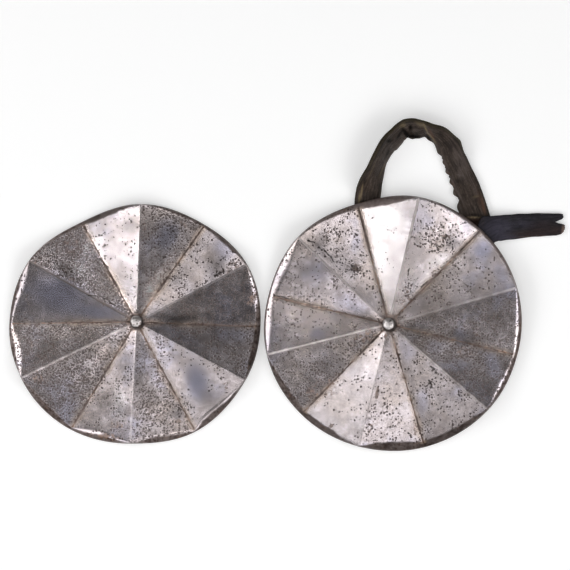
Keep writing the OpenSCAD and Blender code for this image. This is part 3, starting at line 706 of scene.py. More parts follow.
def steelMaterial():
    look = discLook
    material, tree, shader = newMaterial("discSteel")
    spot = place(tree, "ShaderNodeTexCoord").outputs["Object"]
    valley, ridge = attribute(tree, "valleyDistance"), attribute(tree, "ridgeDistance")
    rim, outer = attribute(tree, "rimDistance"), attribute(tree, "outerEdge")
    cool, pale, rust = attribute(tree, "cool"), attribute(tree, "pale"), attribute(tree, "rust")
    crown, under = attribute(tree, "fromCrown"), attribute(tree, "underside")
    pitted = attribute(tree, "pitted")

    mottle = blotches(spot, 60, 5, 0.62)
    tint = blotches(spot, 34, 3, 0.6)
    fine = blotches(spot, 520, 3, 0.6)
    colour = mixed(ramp(tint, 0.5, 0.68, 0, 0.7), look["steel"], look["warm"])
    cooled = most(cool, ramp(tint, 0.34, 0.48, 0.6, 0))
    colour = mixed(cooled, colour, look["cool"])
    pale = most(pale, ramp(pitted, -0.1, 0.55, 1, 0))
    colour = mixed(pale, colour, look["pale"])
    onFlange = ramp(rim, -0.4, 0.5)
    # a pale, less metallic line along the ridges, partly worn steel and partly painted highlight; a crest
    # below 0 browns it instead
    wornCrestAndHighlight = times(ramp(plus(ridge, times(tint, 0.8)), 0.7, 1.45, 1, 0), minus(1, onFlange))
    crest = attribute(tree, "crest")
    browned = times(wornCrestAndHighlight, times(crest, -1), clamp=True)
    wornCrestAndHighlight = times(times(wornCrestAndHighlight, ramp(mottle, 0.3, 0.6, 0.7, 1)), crest, clamp=True)
    colour = mixed(browned, colour, look["crestBrown"])
    colour = mixed(wornCrestAndHighlight, colour, look["crest"])
    murk = minus(ramp(mottle, 0.35, 0.68, 0.45, 0), times(cool, 0.4), clamp=True)
    colour = mixed(murk, colour, look["murk"])

    # patina of the flange, by bearing, broken by brown and black rust
    flakes = blotches(spot, 230, 4, 0.65)
    ashore = minus(plus(outer, times(minus(flakes, 0.5), 2.2)), attribute(tree, "patinaDepth"))
    stained = ramp(ashore, -0.7, 0.7, 1, 0)
    dark = plus(attribute(tree, "patinaDark"), times(minus(fine, 0.5), 1.2))
    colour = mixed(stained, colour, mixed(ramp(dark, 0.1, 0.8), look["patina"], look["patinaDark"]))
    spots = times(stained, ramp(flakes, 0.56, 0.68, 0, 0.6))
    edgeLine = ramp(plus(outer, times(flakes, 0.9)), 0.5, 1.1, 1, 0)

    # brown rust in the valleys, at the crown and in stains, and the painted shadow of the rivet head
    line = groupNode(tree, rustLine, {"Vector": spot, "Distance": valley, "Width": look["valleyWidth"]})
    inner = minus(1, onFlange)
    nearCrown = ramp(plus(crown, times(flakes, 8)), 7.0, 12, 1, 0)
    # painted shadow of the rivet head: a near-black, dull ring round the crown, wider on its lower right side
    rivetShadow = ramp(minus(crown, times(attribute(tree, "shadeSide"), 0.6)), 4.1, 5.0, 1, 0)
    core = times(line["Core"], inner)
    halo = times(line["Halo"], inner)
    lineDull = most(core, times(halo, 0.45))
    broken = plus(times(flakes, 2.2), times(fine, 2.4))
    ragged = minus(plus(rust, broken), 2.3)
    speckled = times(ramp(ragged, 0.25, 0.95), ramp(rust, 0.02, 0.4, 0, 0.75))
    brown = most(most(speckled, times(nearCrown, 0.8)), spots)
    colour = mixed(times(halo, 0.6), colour, look["halo"])
    colour = mixed(brown, colour, mixed(ramp(fine, 0.42, 0.6), look["rustDark"], look["rust"]))
    tone = mixed(ramp(mottle, 0.45, 0.6), look["rustDark"], look["rust"])
    colour = mixed(core, colour, tone)
    colour = mixed(edgeLine, colour, look["rustDark"])
    colour = mixed(rivetShadow, colour, look["rivetShadow"])

    # pits, fewer on the cool patches
    amount = minus(plus(pitted, times(rust, 0.6)), times(cool, 0.7))
    pits = groupNode(tree, pitting, {"Vector": spot, "Amount": amount})
    pitMask = times(pits["Mask"], ramp(ridge, 0.3, 1.1, 0.3, 1))
    colour = mixed(ramp(pits["Speckle"], 0, 1, 0.62, 0), colour, look["land"])
    colour = mixed(times(pitMask, 0.9), colour, look["pit"])

    marks = times(drawnMarks(tree, spot), ramp(fine, 0.38, 0.5, 0.25, 1))
    colour = mixed(times(marks, 0.95), colour, look["mark"])
    colour = mixed(times(under, 0.85), colour, mixed(mottle, look["inside"], look["rust"]))
    # the steel colour scaled facet by facet, partly for real polish and partly as painted light and shade,
    # and by soft spots that darken it as stains and painted shade and lighten it as painted light
    tree.links.new(scaled(colour, attribute(tree, "polishAndPaintedLight")), shader.inputs["Base Color"])
    tree.links.new(ramp(stained, 0, 1, 0.2, 0.03, smooth=False), shader.inputs["Specular IOR Level"])

    dull = most(most(lineDull, brown), most(pitMask, marks), clamp=True)
    dull = most(dull, rivetShadow)
    metal = minus(1, most(most(times(dull, 0.85), wornCrestAndHighlight), most(times(stained, 0.85), browned)))
    tree.links.new(metal, shader.inputs["Metallic"])
    rough = plus(look["roughness"], times(minus(mottle, 0.5), 0.10))
    rough = plus(rough, times(stained, 0.14))
    rough = plus(rough, times(under, 0.2))
    tree.links.new(most(rough, times(dull, 0.62)), shader.inputs["Roughness"])

    height = minus(times(fine, 0.04), times(pits["Depth"], 0.5))
    height = minus(height, times(lineDull, 0.8))
    height = plus(height, times(mottle, 0.15))
    relief(shader, height, 0.11, 0.00022)
    return material


steel = steelMaterial()
for side, disc in discs.items():
    thing = buildDisc(side + "_disc", disc)
    thing.data.materials.append(steel)
print("discs")

# rivets and roves, turned profiles of radius and height in mm
rivet = dict(headR=4.0, headH=2.6, shankR=2.0, turns=48, tailR=3.2, tailH=1.2, dent=0.22,
             # shadow and bright are the head's colours low down and on top: painted shade, partly its brown
             # edge, and painted highlight
             shadow=(0.02, 0.012, 0.009), bright=(0.66, 0.62, 0.61), pit=(0.08, 0.055, 0.045))
rove = dict(width=11.0, bore=2.05, thick=1.0, soften=0.3, dent=0.12,
            steel=(0.30, 0.26, 0.24), rust=(0.12, 0.065, 0.035), pit=(0.04, 0.025, 0.02))


def lathe(name, profile, turns, disc, dent):
    points, height, shadeSide = [], [], []
    for radius, z in profile:
        for c in range(turns):
            a = 2 * math.pi * c / turns
            x, y = radius * math.cos(a), radius * math.sin(a)
            height.append(z)
            shadeSide.append(x - y)
            bump = dent * noise.noise(Vector((x * 0.45, y * 0.45, z * 0.5 + disc["seed"])))
            points.append((x * (1 + bump / 6), y * (1 + bump / 6), z + bump * min(radius, 2) / 2))
    faces = gridFaces(len(profile), turns)
    faces.append(tuple(range(turns - 1, -1, -1)))
    faces.append(tuple((len(profile) - 1) * turns + c for c in range(turns)))
    return meshObject(name, leaning(disc, points), faces, dict(height=height, shadeSide=shadeSide))


def buildRivet(side, disc, tailTop):
    # domed head with its foot just under the top of the crown, shank, and hammered tail under the rove
    top, headR, headH = sheet["crown"], rivet["headR"], rivet["headH"]
    shankR, tailR = rivet["shankR"], rivet["tailR"]
    profile = [(0.15, top + headH)]
    for k in range(1, 13):
        a = math.pi / 2 * k / 12
        profile.append((headR * math.sin(a) ** 0.92, top + 0.25 + (headH - 0.25) * math.cos(a) ** 1.15))
    profile += [(headR + 0.02, top + 0.05), (headR - 0.25, top - 0.3), (shankR + 0.3, top - 0.28)]
    profile += [(shankR, z) for z in (top - 0.6, (top + tailTop) / 2, tailTop)]
    for k in range(9):
        a = math.pi * k / 8
        r = shankR + (tailR - shankR) * math.sin(a) ** 0.5 if k < 5 else tailR * math.sin(a) ** 0.6 + 0.1
        profile.append((r, tailTop - rivet["tailH"] * (1 - math.cos(a)) / 2))
    head = lathe(side + "_rivet", profile, rivet["turns"], disc, rivet["dent"])
    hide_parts(side + "_rivet")
    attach(head, disc["body"])
    return head


def buildRove(side, disc, tailTop, turn):
    # a square washer with softened corners, round its round bore
    half, bore, thick, cells = rove["width"] / 2, rove["bore"], rove["thick"], 10
    ring = []
    for k in range(4 * cells):
        s, f = divmod(k, cells)
        f = -1 + 2 * f / cells
        x, y = [(f, -1), (1, f), (-f, 1), (-1, -f)][s]
        soft = (abs(x) ** 6 + abs(y) ** 6) ** (1 / 6)
        ring.append((x / soft, y / soft))
    span = half - rove["soften"] - bore
    rows = [(bore, 0), (bore, thick)] + [(bore + span * k / 4, thick) for k in range(1, 5)]
    rows += [(half, thick * 0.75), (half, thick * 0.2)] + [(bore + span - span * k / 4, 0) for k in range(4)]
    points = []
    for r, z in rows:
        reach = min(max((r - bore) / (half - bore), 0), 1)
        for x, y in ring:
            long = math.hypot(x, y)
            px, py = (way * (bore / long * (1 - reach) + r * reach) for way in (x, y))
            dent = rove["dent"] * noise.noise(Vector((px * 0.3, py * 0.3, disc["seed"])))
            spunX = px * math.cos(turn) - py * math.sin(turn)
            spunY = px * math.sin(turn) + py * math.cos(turn)
            points.append((spunX, spunY, tailTop + z + dent * reach))
    washer = meshObject(side + "_rove", leaning(disc, points), tubeFaces(len(rows), len(ring)), smooth=False)
    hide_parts(side + "_rove")
    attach(washer, disc["body"])
    return washer


def rivetMaterial():
    material, tree, shader = newMaterial("rivetSteel")
    spot = place(tree, "ShaderNodeTexCoord").outputs["Object"]
    height = attribute(tree, "height")
    fine = blotches(spot, 700, 3)
    pits = groupNode(tree, pitting, {"Vector": spot, "Amount": 0.8})
    # painted shading of the head: dark low down and on its lower right side, light on top
    up = minus(plus(height, times(fine, 1.2)), times(attribute(tree, "shadeSide"), 0.13))
    up = ramp(up, 17.2, 18.6)
    colour = mixed(up, rivet["shadow"], rivet["bright"])
    colour = mixed(times(pits["Mask"], 0.8), colour, rivet["pit"])
    tree.links.new(colour, shader.inputs["Base Color"])
    tree.links.new(ramp(up, 0, 0.6, 0.25, 1), shader.inputs["Metallic"])
    tree.links.new(ramp(up, 0, 1, 0.6, 0.36), shader.inputs["Roughness"])
    shader.inputs["Specular IOR Level"].default_value = 0.2
    relief(shader, minus(fine, pits["Depth"]), 0.5, 0.0002)
    return material


def roveMaterial():
    material, tree, shader = newMaterial("roveSteel")
    spot = place(tree, "ShaderNodeTexCoord").outputs["Object"]
    mottle = blotches(spot, 260, 4)
    pits = groupNode(tree, pitting, {"Vector": spot, "Amount": 0.9})
    colour = mixed(ramp(mottle, 0.4, 0.6), rove["steel"], rove["rust"])
    colour = mixed(pits["Mask"], colour, rove["pit"])
    tree.links.new(colour, shader.inputs["Base Color"])
    tree.links.new(ramp(mottle, 0.4, 0.6, 0.9, 0.3), shader.inputs["Metallic"])
    shader.inputs["Roughness"].default_value = 0.5
    relief(shader, minus(mottle, pits["Depth"]), 0.5, 0.0002)
    return material


rivetSteel, roveSteel = rivetMaterial(), roveMaterial()
for side, tailTop, roveTurn in (("right", 3.5, 20), ("left", 9.1, 35)):
    buildRivet(side, discs[side], tailTop).data.materials.append(rivetSteel)
    buildRove(side, discs[side], tailTop, math.radians(roveTurn)).data.materials.append(roveSteel)
print("rivets and roves")

# the leathers on the right rivet: radius of their stack, how steeply they leave it, where the table is met
stack = dict(radius=8.2, fall=0.2006, tableAt=72)
rivetAt = discs["right"]["rivetAt"]

# hanging strap: heights of its two ends on the rivet, step of its rings, stitches on the plan, lobes and
# bulges (x, y, half sizes, height) of its two edges, and creases from point to point with depth and width. A
# station of a route is x, y, roll in degrees and width; of five values the fourth is for the left half and
# the fifth for the right.
hanging = dict(thick=2.8, width=16.4, step=0.8, endA=8.1, endB=4.9,
               stitchAt=1.9, stitchIn=2.4, slant=0.9, thread=0.6, loopPoints=20, threadSides=8,
               stitches=[(95.6, 78.4), (97.6, 72.6), (100.1, 66.4), (103.2, 60.2), (105.8, 52.6),
                         (108.2, 45.2)],
               lobes=[(80.2, 91, 3.6, 3, 1.9), (88.9, 89.4, 2.2, 2.6, 1.9), (67, 85.2, 4, 3.4, 2.8),
                      (75, 91.4, 1.8, 2, -0.9), (85.6, 91.6, 1.6, 2, -1), (70, 88.4, 2, 2, 0.7)],
               bulges=[(107.4, 89, 2.6, 2.6, 0.9), (102.4, 94.6, 3.2, 3, -0.4), (111.2, 83, 2.6, 3, -0.5),
                       (91, 100.5, 3, 2.5, -0.5), (72, 102.5, 2.6, 2.6, 0.5), (64, 98, 3, 3, -0.4)],
               creases=[((76.3, 101.3), (77.5, 94.4), 0.8, 0.9), ((72.5, 95.6), (75.6, 91.5), 1, 1.2),
                        ((75.6, 99.6), (77.4, 95.6), 1, 1.2), ((69.4, 98.1), (71.9, 91.9), 0.7, 1),
                        ((79.5, 100.5), (80.5, 92.5), 0.5, 1.3), ((84, 99.5), (87.2, 91.5), 1.1, 0.9),
                        ((88, 95), (91.5, 88.5), 0.6, 1), ((63.1, 90.6), (65, 85), 0.4, 0.8),
                        ((57.5, 80), (60.5, 76.5), 0.25, 0.9)])
hangingRoute = [(65.6, -34.3, 0, 16.4), (63.5, -24.5, 0, 16.4), (60, -8, 0, 16.4), (55.5, 10, 0, 16.4),
                (52, 30, 0, 16.4), (50.8, 42, 0, 16.4), (50.4, 50.6, 0, 16.6), (50.8, 56.6, 6, 15.8),
                (52.2, 63.3, 36, 16.4), (54.5, 69.4, 49, 16.4), (56.7, 75.4, 56, 16.4),
                (59.4, 81.2, 58, 16.4), (62.6, 86.7, 58, 16.4), (67, 91.4, 55, 16.4),
                (71.8, 95.2, 52, 16.4), (77.7, 97, 49, 16.4), (83.9, 96.4, 56, 16.4),
                (89.8, 94.6, 58, 16.4), (95.5, 91.9, 47, 16.4), (99.7, 87.3, 34, 16.4),
                (102.4, 81.6, 18, 16.6), (104.8, 75.7, 5, 16.8), (107.3, 69.8, 0, 16.8),
                (109.9, 64, 0, 17.4), (112.7, 58.3, 0, 17.6), (115, 51.5, 0, 17.4), (118.3, 42.5, 0, 16.6),
                (121, 33, 0, 16.4), (120.5, 22, 0, 16.4), (115, 11, 0, 16.4), (105.5, 1, 0, 16.4),
                (93, -8, 0, 16.4), (79, -17, 0, 16.4), (63.5, -24.5, 0, 16.4), (54.7, -29.2, 0, 16.4)]


def soften(t):
    t = np.clip(t, 0, 1)
    return t * t * (3 - 2 * t)


def drape(x, y, zMiddle, zOut):
    # height of a band's underside: in the stack on the rivet, then down to the table past the rim
    r = np.hypot(x - rivetAt[0], y - rivetAt[1])
    a = math.radians(sheet["leanDir"])
    disc = discs["right"]
    middle = [disc["rivetAt"][k] + disc["centre"][k] for k in (0, 1)]
    along = (x - middle[0]) * math.cos(a) + (y - middle[1]) * math.sin(a)
    lift = math.tan(lean) * (disc["longD"] / 2 + along)
    past = r - stack["radius"]
    t = soften(past / (stack["tableAt"] - stack["radius"]))
    return np.maximum((lift + zMiddle - stack["fall"] * np.maximum(past, 0)) * (1 - t) + zOut * t, 0)


def sampleRoute(route, step):
    points = np.array(route, dtype=float)
    points = np.vstack([2 * points[0] - points[1], points, 2 * points[-1] - points[-2]])
    fine = []
    for i in range(1, len(points) - 2):
        p, q, r, s = points[i - 1:i + 3]
        for k in range(24):
            u = k / 24
            squared, cubed = 2 * p - 5 * q + 4 * r - s, 3 * (q - r) + s - p
            fine.append(q + 0.5 * u * ((r - p) + u * (squared + u * cubed)))
    fine = np.array(fine + [points[-2]])
    along = np.concatenate([[0], np.cumsum(np.hypot(*np.diff(fine[:, :2], axis=0).T))])
    at = np.linspace(0, along[-1], int(along[-1] / step) + 1)
    return at, np.stack([np.interp(at, along, column) for column in fine.T], axis=1)


def bandSection(layers, columns):
    # round a band's section: share across, pull in from the edge, share up, and 1 on the edges
    if layers == 2:
        side = [(0.22, 0.94), (0.05, 0.84), (0, 0.74), (0.08, 0.62), (0.3, 0.55), (0.62, 0.5), (0.3, 0.45),
                (0.08, 0.38), (0, 0.26), (0.05, 0.16), (0.22, 0.06)]
    else:
        side = [(0.3, 0.98), (0.1, 0.88), (0, 0.7), (0.06, 0.5), (0, 0.3), (0.1, 0.12), (0.3, 0.02)]
    share = np.linspace(1, -1, columns)
    parts = [(f, 0.55 * abs(f) ** 8, 1.0, 0) for f in share] + [(-1, pull, up, 1) for pull, up in side]
    parts += [(-f, 0.55 * abs(f) ** 8, 0.0, 0) for f in share] + [(1, pull, 1 - up, 1) for pull, up in side]
    return np.array(parts, dtype=float), len(side)


def loftBand(name, route, thick, layers, step, under, columns=30, reshape=None, tear=None, attributes=None):
    # a strap swept along its route: under gives the height of its underside, reshape moves the points of its
    # section, tear shifts its end, and attributes are painted spots by name
    at, samples = sampleRoute(route, step)
    path = samples[:, :2]
    heading = np.gradient(path, axis=0)
    heading /= np.hypot(*heading.T)[:, None]
    out = np.stack([-heading[:, 1], heading[:, 0]], axis=1)
    roll, half, left = np.radians(np.maximum(samples[:, 2], 0)), samples[:, -1] / 2, samples[:, 3] / 2
    section, edgeCount = bandSection(layers, columns)
    share, pull, up, edge = section.T
    across = share * (np.where(share > 0, left[:, None], half[:, None]) - pull)
    rise = up * thick * np.ones_like(across)
    ends = np.minimum(at, at[-1] - at)
    squeeze = np.where(ends < 0.05, 0.45, 1.0)[:, None]  # the two end rings are thinner
    rise = thick / 2 + (rise - thick / 2) * squeeze
    centre = path + out * (thick / 2 * np.sin(roll))[:, None]
    sine, cosine = np.sin(roll)[:, None], np.cos(roll)[:, None]
    if reshape:
        flatX = centre[:, 0, None] + out[:, 0, None] * across * cosine
        flatY = centre[:, 1, None] + out[:, 1, None] * across * cosine
        along = at[:, None] + 0 * across
        across, rise = reshape(along, across, rise, share, up, edge, half[:, None], flatX, flatY)
    shift = tear(at, across) if tear else 0 * across
    x = centre[:, 0, None] + out[:, 0, None] * across * cosine + heading[:, 0, None] * shift
    y = centre[:, 1, None] + out[:, 1, None] * across * cosine + heading[:, 1, None] * shift
    z = under(x, y, np.arange(len(at))[:, None] + 0 * x) + (across + half[:, None]) * sine + rise * cosine
    z = np.maximum(z, 0)
    x, y = x - out[:, 0, None] * rise * sine, y - out[:, 1, None] * rise * sine
    count, rings = section.shape[0], len(at)
    faces = gridFaces(rings, count)
    for base, flip in ((0, False), ((rings - 1) * count, True)):
        far = 2 * columns + edgeCount - 1
        caps = [(j, j + 1, far - 1 - j, far - j) for j in range(columns - 1)]
        caps.append(tuple(range(columns - 1, columns + edgeCount + 1)))
        caps.append(tuple(range(far, count)) + (0,))
        faces += [tuple(base + j for j in (reversed(cap) if not flip else cap)) for cap in caps]
    points = np.stack([x.ravel(), y.ravel(), z.ravel()], axis=1) * mm
    values = dict(along=np.repeat(at, count), across=across.ravel(), cutEdge=np.tile(edge, rings),
                  innerGap=(across + half[:, None]).ravel(), outerGap=(left[:, None] - across).ravel())
    values.update({key: painted(points, spots) for key, spots in (attributes or {}).items()})
    faces = [tuple(reversed(face)) for face in faces]
    thing = meshObject(name, points, faces, values)
    frameAt = dict(at=at, centre=centre, out=out, heading=heading, roll=roll, half=half, under=under)
    return thing, frameAt


def lineDistance(x, y, a, b):
    dx, dy = b[0] - a[0], b[1] - a[1]
    t = np.clip(((x - a[0]) * dx + (y - a[1]) * dy) / (dx * dx + dy * dy), 0, 1)
    return np.hypot(x - a[0] - dx * t, y - a[1] - dy * t)


def mounds(x, y, spots):
    # rounded heights (x, y, half sizes, height) added up
    return sum(high * np.exp(-((x - px) / rx) ** 2 - ((y - py) / ry) ** 2) for px, py, rx, ry, high in spots)


def topShare(up, edge):
    # 1 on a band's upper face, from 0 to 1 on the upper half of its edges
    return up * (1 - edge) + edge * np.clip(up * 2 - 1, 0, 1)


def reshapeHanging(at, across, rise, share, up, edge, half, x, y):
    # whip stitches pull the inner edge in; above it the upper layer ends in a step that climbs over the top
    inner = np.clip(1 - (across + half) / 3.5, 0, 1)  # 1 on the inner edge, 0 from 3.5 mm in
    pulled = mounds(x, y, [(sx, sy, 3, 3, 1) for sx, sy in hanging["stitches"][:5]])
    between = (np.clip((x - 92) / 4, 0, 1) * np.clip((y - 41) / 3, 0, 1)) * np.clip(1.2 - 2 * pulled, -0.6, 1)
    lobes = mounds(x, y, hanging["lobes"])
    across = across + inner * (1.3 * np.minimum(pulled, 1) - 1.0 * between - lobes)
    outer = np.clip(1 - (half - across) / 4, 0, 1)  # the same from the outer edge
    across = across + outer * mounds(x, y, hanging["bulges"])
    top = topShare(up, edge)
    stepLine = 2.0 + 14.5 * soften((92.5 - x) / 7.5) * (y > 60)
    right = soften((x - 82.5) / 2.5)
    below = soften((stepLine - (across + half)) / 0.7 + 0.5) * right * (y > 40)
    rise = rise - top * below * 0.75 * np.where(y > 60, np.exp(-np.maximum(86 - x, 0) / 3), 1)
    for a, b, depth, wide in hanging["creases"]:
        rise = rise - top * depth * np.exp(-(lineDistance(x, y, a, b) / wide) ** 2)
    # broad and fine unevenness, less where the strap comes out flat from the rim, and a fuller middle
    ripple = noiseField(at / 7, across / 5, 2.1) * 0.35 + noiseField(at / 2.6, across / 2.2, 5.3) * 0.14
    loose = 0.35 + 0.65 * np.clip((y - 55) / 12, 0, 1)
    rise = rise + top * ripple * loose * np.clip((y - 35) / 12, 0, 1)
    rise = rise + top * 0.28 * (1 - share ** 2)
    # edges that wander a little
    wander = noiseField(at / 9, share * 0.8, 7.7) * 0.45 * np.abs(share) * np.clip((y - 50) / 10, 0, 1)
    return across + wander, rise


def hangingUnder(x, y, ring):
    first = ring < hangingHalf
    return drape(x, y, np.where(first, hanging["endA"], hanging["endB"]), 0)


hangingHalf = len(sampleRoute(hangingRoute, hanging["step"])[0]) // 2
# spots painted on the hanging strap; dark is painted shade in its creases and folds and beside the rim
strapPaint = dict(
    dark=[(73.5, 94.6, 4.2, 1.3, -54, 0.95), (76.8, 97.4, 1.2, 1.7, 10, 0.9),
          (77, 93.2, 4.5, 1.5, -12, 0.55), (67, 90.5, 2.6, 5, -38, 0.35), (60, 84, 2, 6, -28, 0.25),
          (80, 91.9, 4.6, 1, 0, 0.95), (88.4, 91.2, 2.8, 1.1, -50, 0.9), (63.3, 89, 1.9, 1.2, 20, 0.7),
          (47.7, 50.9, 2.8, 1, 0, 0.8), (58, 59.5, 0.8, 7, -14, 0.5), (62.7, 81.8, 1.2, 2.8, -20, 0.5),
          (101, 82, 1.4, 11, 25, 0.35), (117, 38.9, 4.8, 1.8, 0, 0.8), (116, 43.2, 3.6, 0.9, 0, 0.7),
          (70, 93, 1, 3.2, -30, 0.6), (54, 56, 3, 3.5, 0, 0.35), (96, 93.5, 3.5, 0.9, -35, 0.4),
          (66.6, 96.6, 3, 0.6, 38, 0.5)],
    # tan is worn tan leather; along the twist at the top of the loop it is partly painted highlight
    tan=[(46.5, 57.5, 0.5, 5, -8, 0.9), (45, 53, 0.5, 4, -4, 0.8), (71.7, 98.3, 2, 1.5, 20, 0.7),
         (83, 99.3, 3.2, 1.4, -20, 0.5), (86.3, 96.7, 3.6, 0.5, -63, 0.9), (89, 92.6, 2, 0.45, -44, 0.8),
         (91.7, 89.6, 2.6, 0.45, -50, 0.7), (116.8, 41.6, 4.4, 0.4, 0, 1), (118, 54.6, 2.2, 0.7, 10, 0.35),
         (59.6, 71.5, 0.5, 6, -25, 0.3), (52, 69, 0.4, 9, -24, 0.3)],
    russet=[(122.6, 48, 0.9, 5, 15, 0.8), (121, 52, 2.2, 6, 15, 0.4), (117.2, 38.6, 3.8, 2.2, 0, 0.8),
            (97.5, 74, 1.2, 1.6, 0, 0.7), (100.6, 68, 1.2, 1.8, 0, 0.7), (89.8, 93.4, 1, 3.6, 32, 0.7),
            (103.6, 62, 0.8, 1.8, 20, 0.5)],
    grey=[(49, 74, 1.6, 14, -25, 0.6), (104, 64, 1.3, 16, 24, 0.5), (108, 76, 4.5, 13, 22, 0.5),
          (107.9, 67.9, 2.2, 0.5, -10, 0.9), (109, 68, 3.5, 2.5, 0, 0.3), (116, 62, 1, 14, 22, 0.4),
          (100, 70.2, 0.7, 3.8, 22, 0.9), (103.7, 62.2, 0.7, 3.8, 24, 0.8), (96.6, 78.6, 0.6, 3, 18, 0.6)])
hangingBand, hangingFrame = loftBand("hanging_strap", hangingRoute, hanging["thick"], 2, hanging["step"],
                                     hangingUnder, 30, reshapeHanging, attributes=strapPaint)
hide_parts("hanging_strap_left_leg", "hanging_strap_right_leg", "hanging_strap_loop")
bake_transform(hangingBand)

# whip stitching: closed loops of thread over the inner edge of the right leg
def buildStitches():
    points, faces = [], []
    band, turns, sides = hangingFrame, hanging["loopPoints"], hanging["threadSides"]
    thick, deep, thread = hanging["thick"], hanging["stitchIn"], hanging["thread"] / 2
    innerEdge = band["centre"] - band["out"] * band["half"][:, None]
    for stitch in hanging["stitches"]:
        k = int(np.argmin(np.hypot(*(innerEdge - stitch).T)))
        centre, out, head, roll, half = (band[key][k] for key in ("centre", "out", "heading", "roll", "half"))
        loop = []
        for j in range(turns):
            a = 2 * math.pi * j / turns
            ca, sa = math.cos(a), math.sin(a)
            u = -half + hanging["stitchAt"] + deep / 2 - (deep / 2 + 0.1) * math.copysign(abs(ca) ** 0.7, ca)
            n = thick / 2 - 0.1 + (thick / 2 + 0.02) * math.copysign(abs(sa) ** 0.7, sa)
            slant = hanging["slant"] * sa * (1 if ca > 0 else -0.4)
            x, y = centre + out * (u * math.cos(roll) - n * math.sin(roll)) + head * slant
            ground = float(band["under"](x, y, np.array(k)))
            z = ground + (u + half) * math.sin(roll) + n * math.cos(roll)
            loop.append(Vector((x, y, max(z, thread))))
        base = len(points)
        middle = sum(loop, Vector()) / turns
        for j, p in enumerate(loop):
            tangent = (loop[(j + 1) % turns] - loop[j - 1]).normalized()
            outward = (p - middle - tangent * (p - middle).dot(tangent)).normalized()
            third = tangent.cross(outward)
            for m in range(sides):
                b = 2 * math.pi * m / sides
                r = thread * (1 + 0.12 * math.sin(3 * b + j * 1.3))
                points.append((p + outward * (r * math.cos(b)) + third * (r * math.sin(b))) * mm)
        faces += [tuple(base + corner for corner in face) for face in tubeFaces(turns, sides)]
    return meshObject("whip_stitching", points, faces)


stitches = buildStitches()
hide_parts("leg_stitching", "loop_stitching")
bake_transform(stitches)

# black buckle strap with its torn fork: along the tear line stand place across and how far the end reaches
buckle = dict(thick=2.0, step=0.7, z=11.3, over=3.2,
              dimples=[(133.1, 34.4, 0.84, 0.84, 0.5), (137.5, 33.8, 0.84, 0.84, 0.5),
                       (146, 37, 0.84, 0.84, 0.5)])
buckleRoute = [(56.2, -31.3, 0, 16, 16), (63.5, -24.5, 0, 16, 16), (77, -14, 0, 16, 16),
               (92, -1.5, 0, 16, 16), (107, 12, 0, 14.5, 15.2), (118.5, 23.5, 0, 10.5, 13.4),
               (122, 27.6, 0, 10, 13.6), (125.4, 31.2, 0, 17.5, 13.8), (127.6, 32.75, 0, 22.4, 14.4),
               (131, 34.4, 0, 17, 15.8), (137, 35.2, 0, 16, 15.8), (145, 36, 0, 15.7, 15.2),
               (156, 36.8, 0, 14.9, 14.4), (168, 37, 0, 14.2, 13.4), (175, 37, 0, 13.4, 12.4)]
tearLine = [(-7.2, -5.2), (-6.1, -4.3), (-5, -2.8), (-2.8, -1.4), (-0.2, -1.4), (0.5, -2.8), (0.9, -5.6),
            (1.8, -7.2), (2.6, -5.4), (3.4, -3.4), (4.4, -2.2), (6.2, -2.5), (7.2, -2.7)]


def buckleUnder(x, y, ring):
    drop = 1 - soften((x - 131.2) / 20)
    return drape(x, y, buckle["z"], buckle["over"] * drop)


def buckleTear(at, across):
    reach = 11.0
    t = np.clip(1 - (at[-1] - at) / reach, 0, 1)[:, None]
    ragged = np.interp(across, *zip(*tearLine)) + 0.35 * noiseField(across * 1.3, 0 * across, 4.4)
    return ragged * t ** 1.2


def reshapeBuckle(at, across, rise, share, up, edge, half, x, y):
    # uneven top, dimples and wandering edges, only where the strap is seen past the rim
    top = topShare(up, edge)
    seen = np.clip((x - 112) / 12, 0, 1)
    ripple = noiseField(at / 8, across / 6, 3.3) * 0.4 + noiseField(at / 3, across / 2.5, 9.1) * 0.15
    rise = rise + top * seen * (ripple - mounds(x, y, buckle["dimples"])) + top * 0.15 * (1 - share ** 2)
    return across + noiseField(at / 6, share * 0.7, 6.1) * 0.35 * np.abs(share) * seen, rise


bucklePaint = dict(
    brown=[(152, 31.6, 13, 2.6, 2, 0.8), (160, 36, 9, 4, 0, 0.5), (169, 33, 5, 3, 0, 0.7),
           (122, 39, 1.4, 3, 0, 0.3)],
    blue=[(132, 34, 9, 8, 0, 1), (147, 38, 9, 3, 0, 0.4), (141, 29, 6, 2, 0, 0.5)],
    tan=[(157, 29.7, 13, 0.5, 3, 0.5), (172.6, 34, 1.1, 3, 0, 0.9), (172.2, 31.6, 2.2, 0.7, 25, 0.5),
         (131.5, 26.4, 3, 0.5, 0, 0.35)])
buckleBand = loftBand("buckle_strap", buckleRoute, buckle["thick"], 1, buckle["step"], buckleUnder, 34,
                      reshapeBuckle, buckleTear, bucklePaint)[0]
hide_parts("buckle_strap_root", "buckle_strap_tail")
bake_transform(buckleBand)

# torn scrap of leather under the left rivet
scrap = dict(bearing=70, stations=(-11, -6, 0, 6, 12), z=10.5)


def scrapUnder(x, y, ring):
    r = np.hypot(x - discs["left"]["rivetAt"][0], y - discs["left"]["rivetAt"][1])
    return scrap["z"] - stack["fall"] * np.maximum(r - stack["radius"], 0)


def scrapTear(at, across):
    # both ends are torn
    t = np.clip(1 - (at[-1] - at) / 6, 0, 1)[:, None] ** 1.3
    s = np.clip(1 - at / 6, 0, 1)[:, None] ** 1.3
    far, near = (noiseField(across * 0.7, 0 * across, seed) * 2.2 - 0.6 for seed in (1.2, 8.2))
    return t * far - s * near


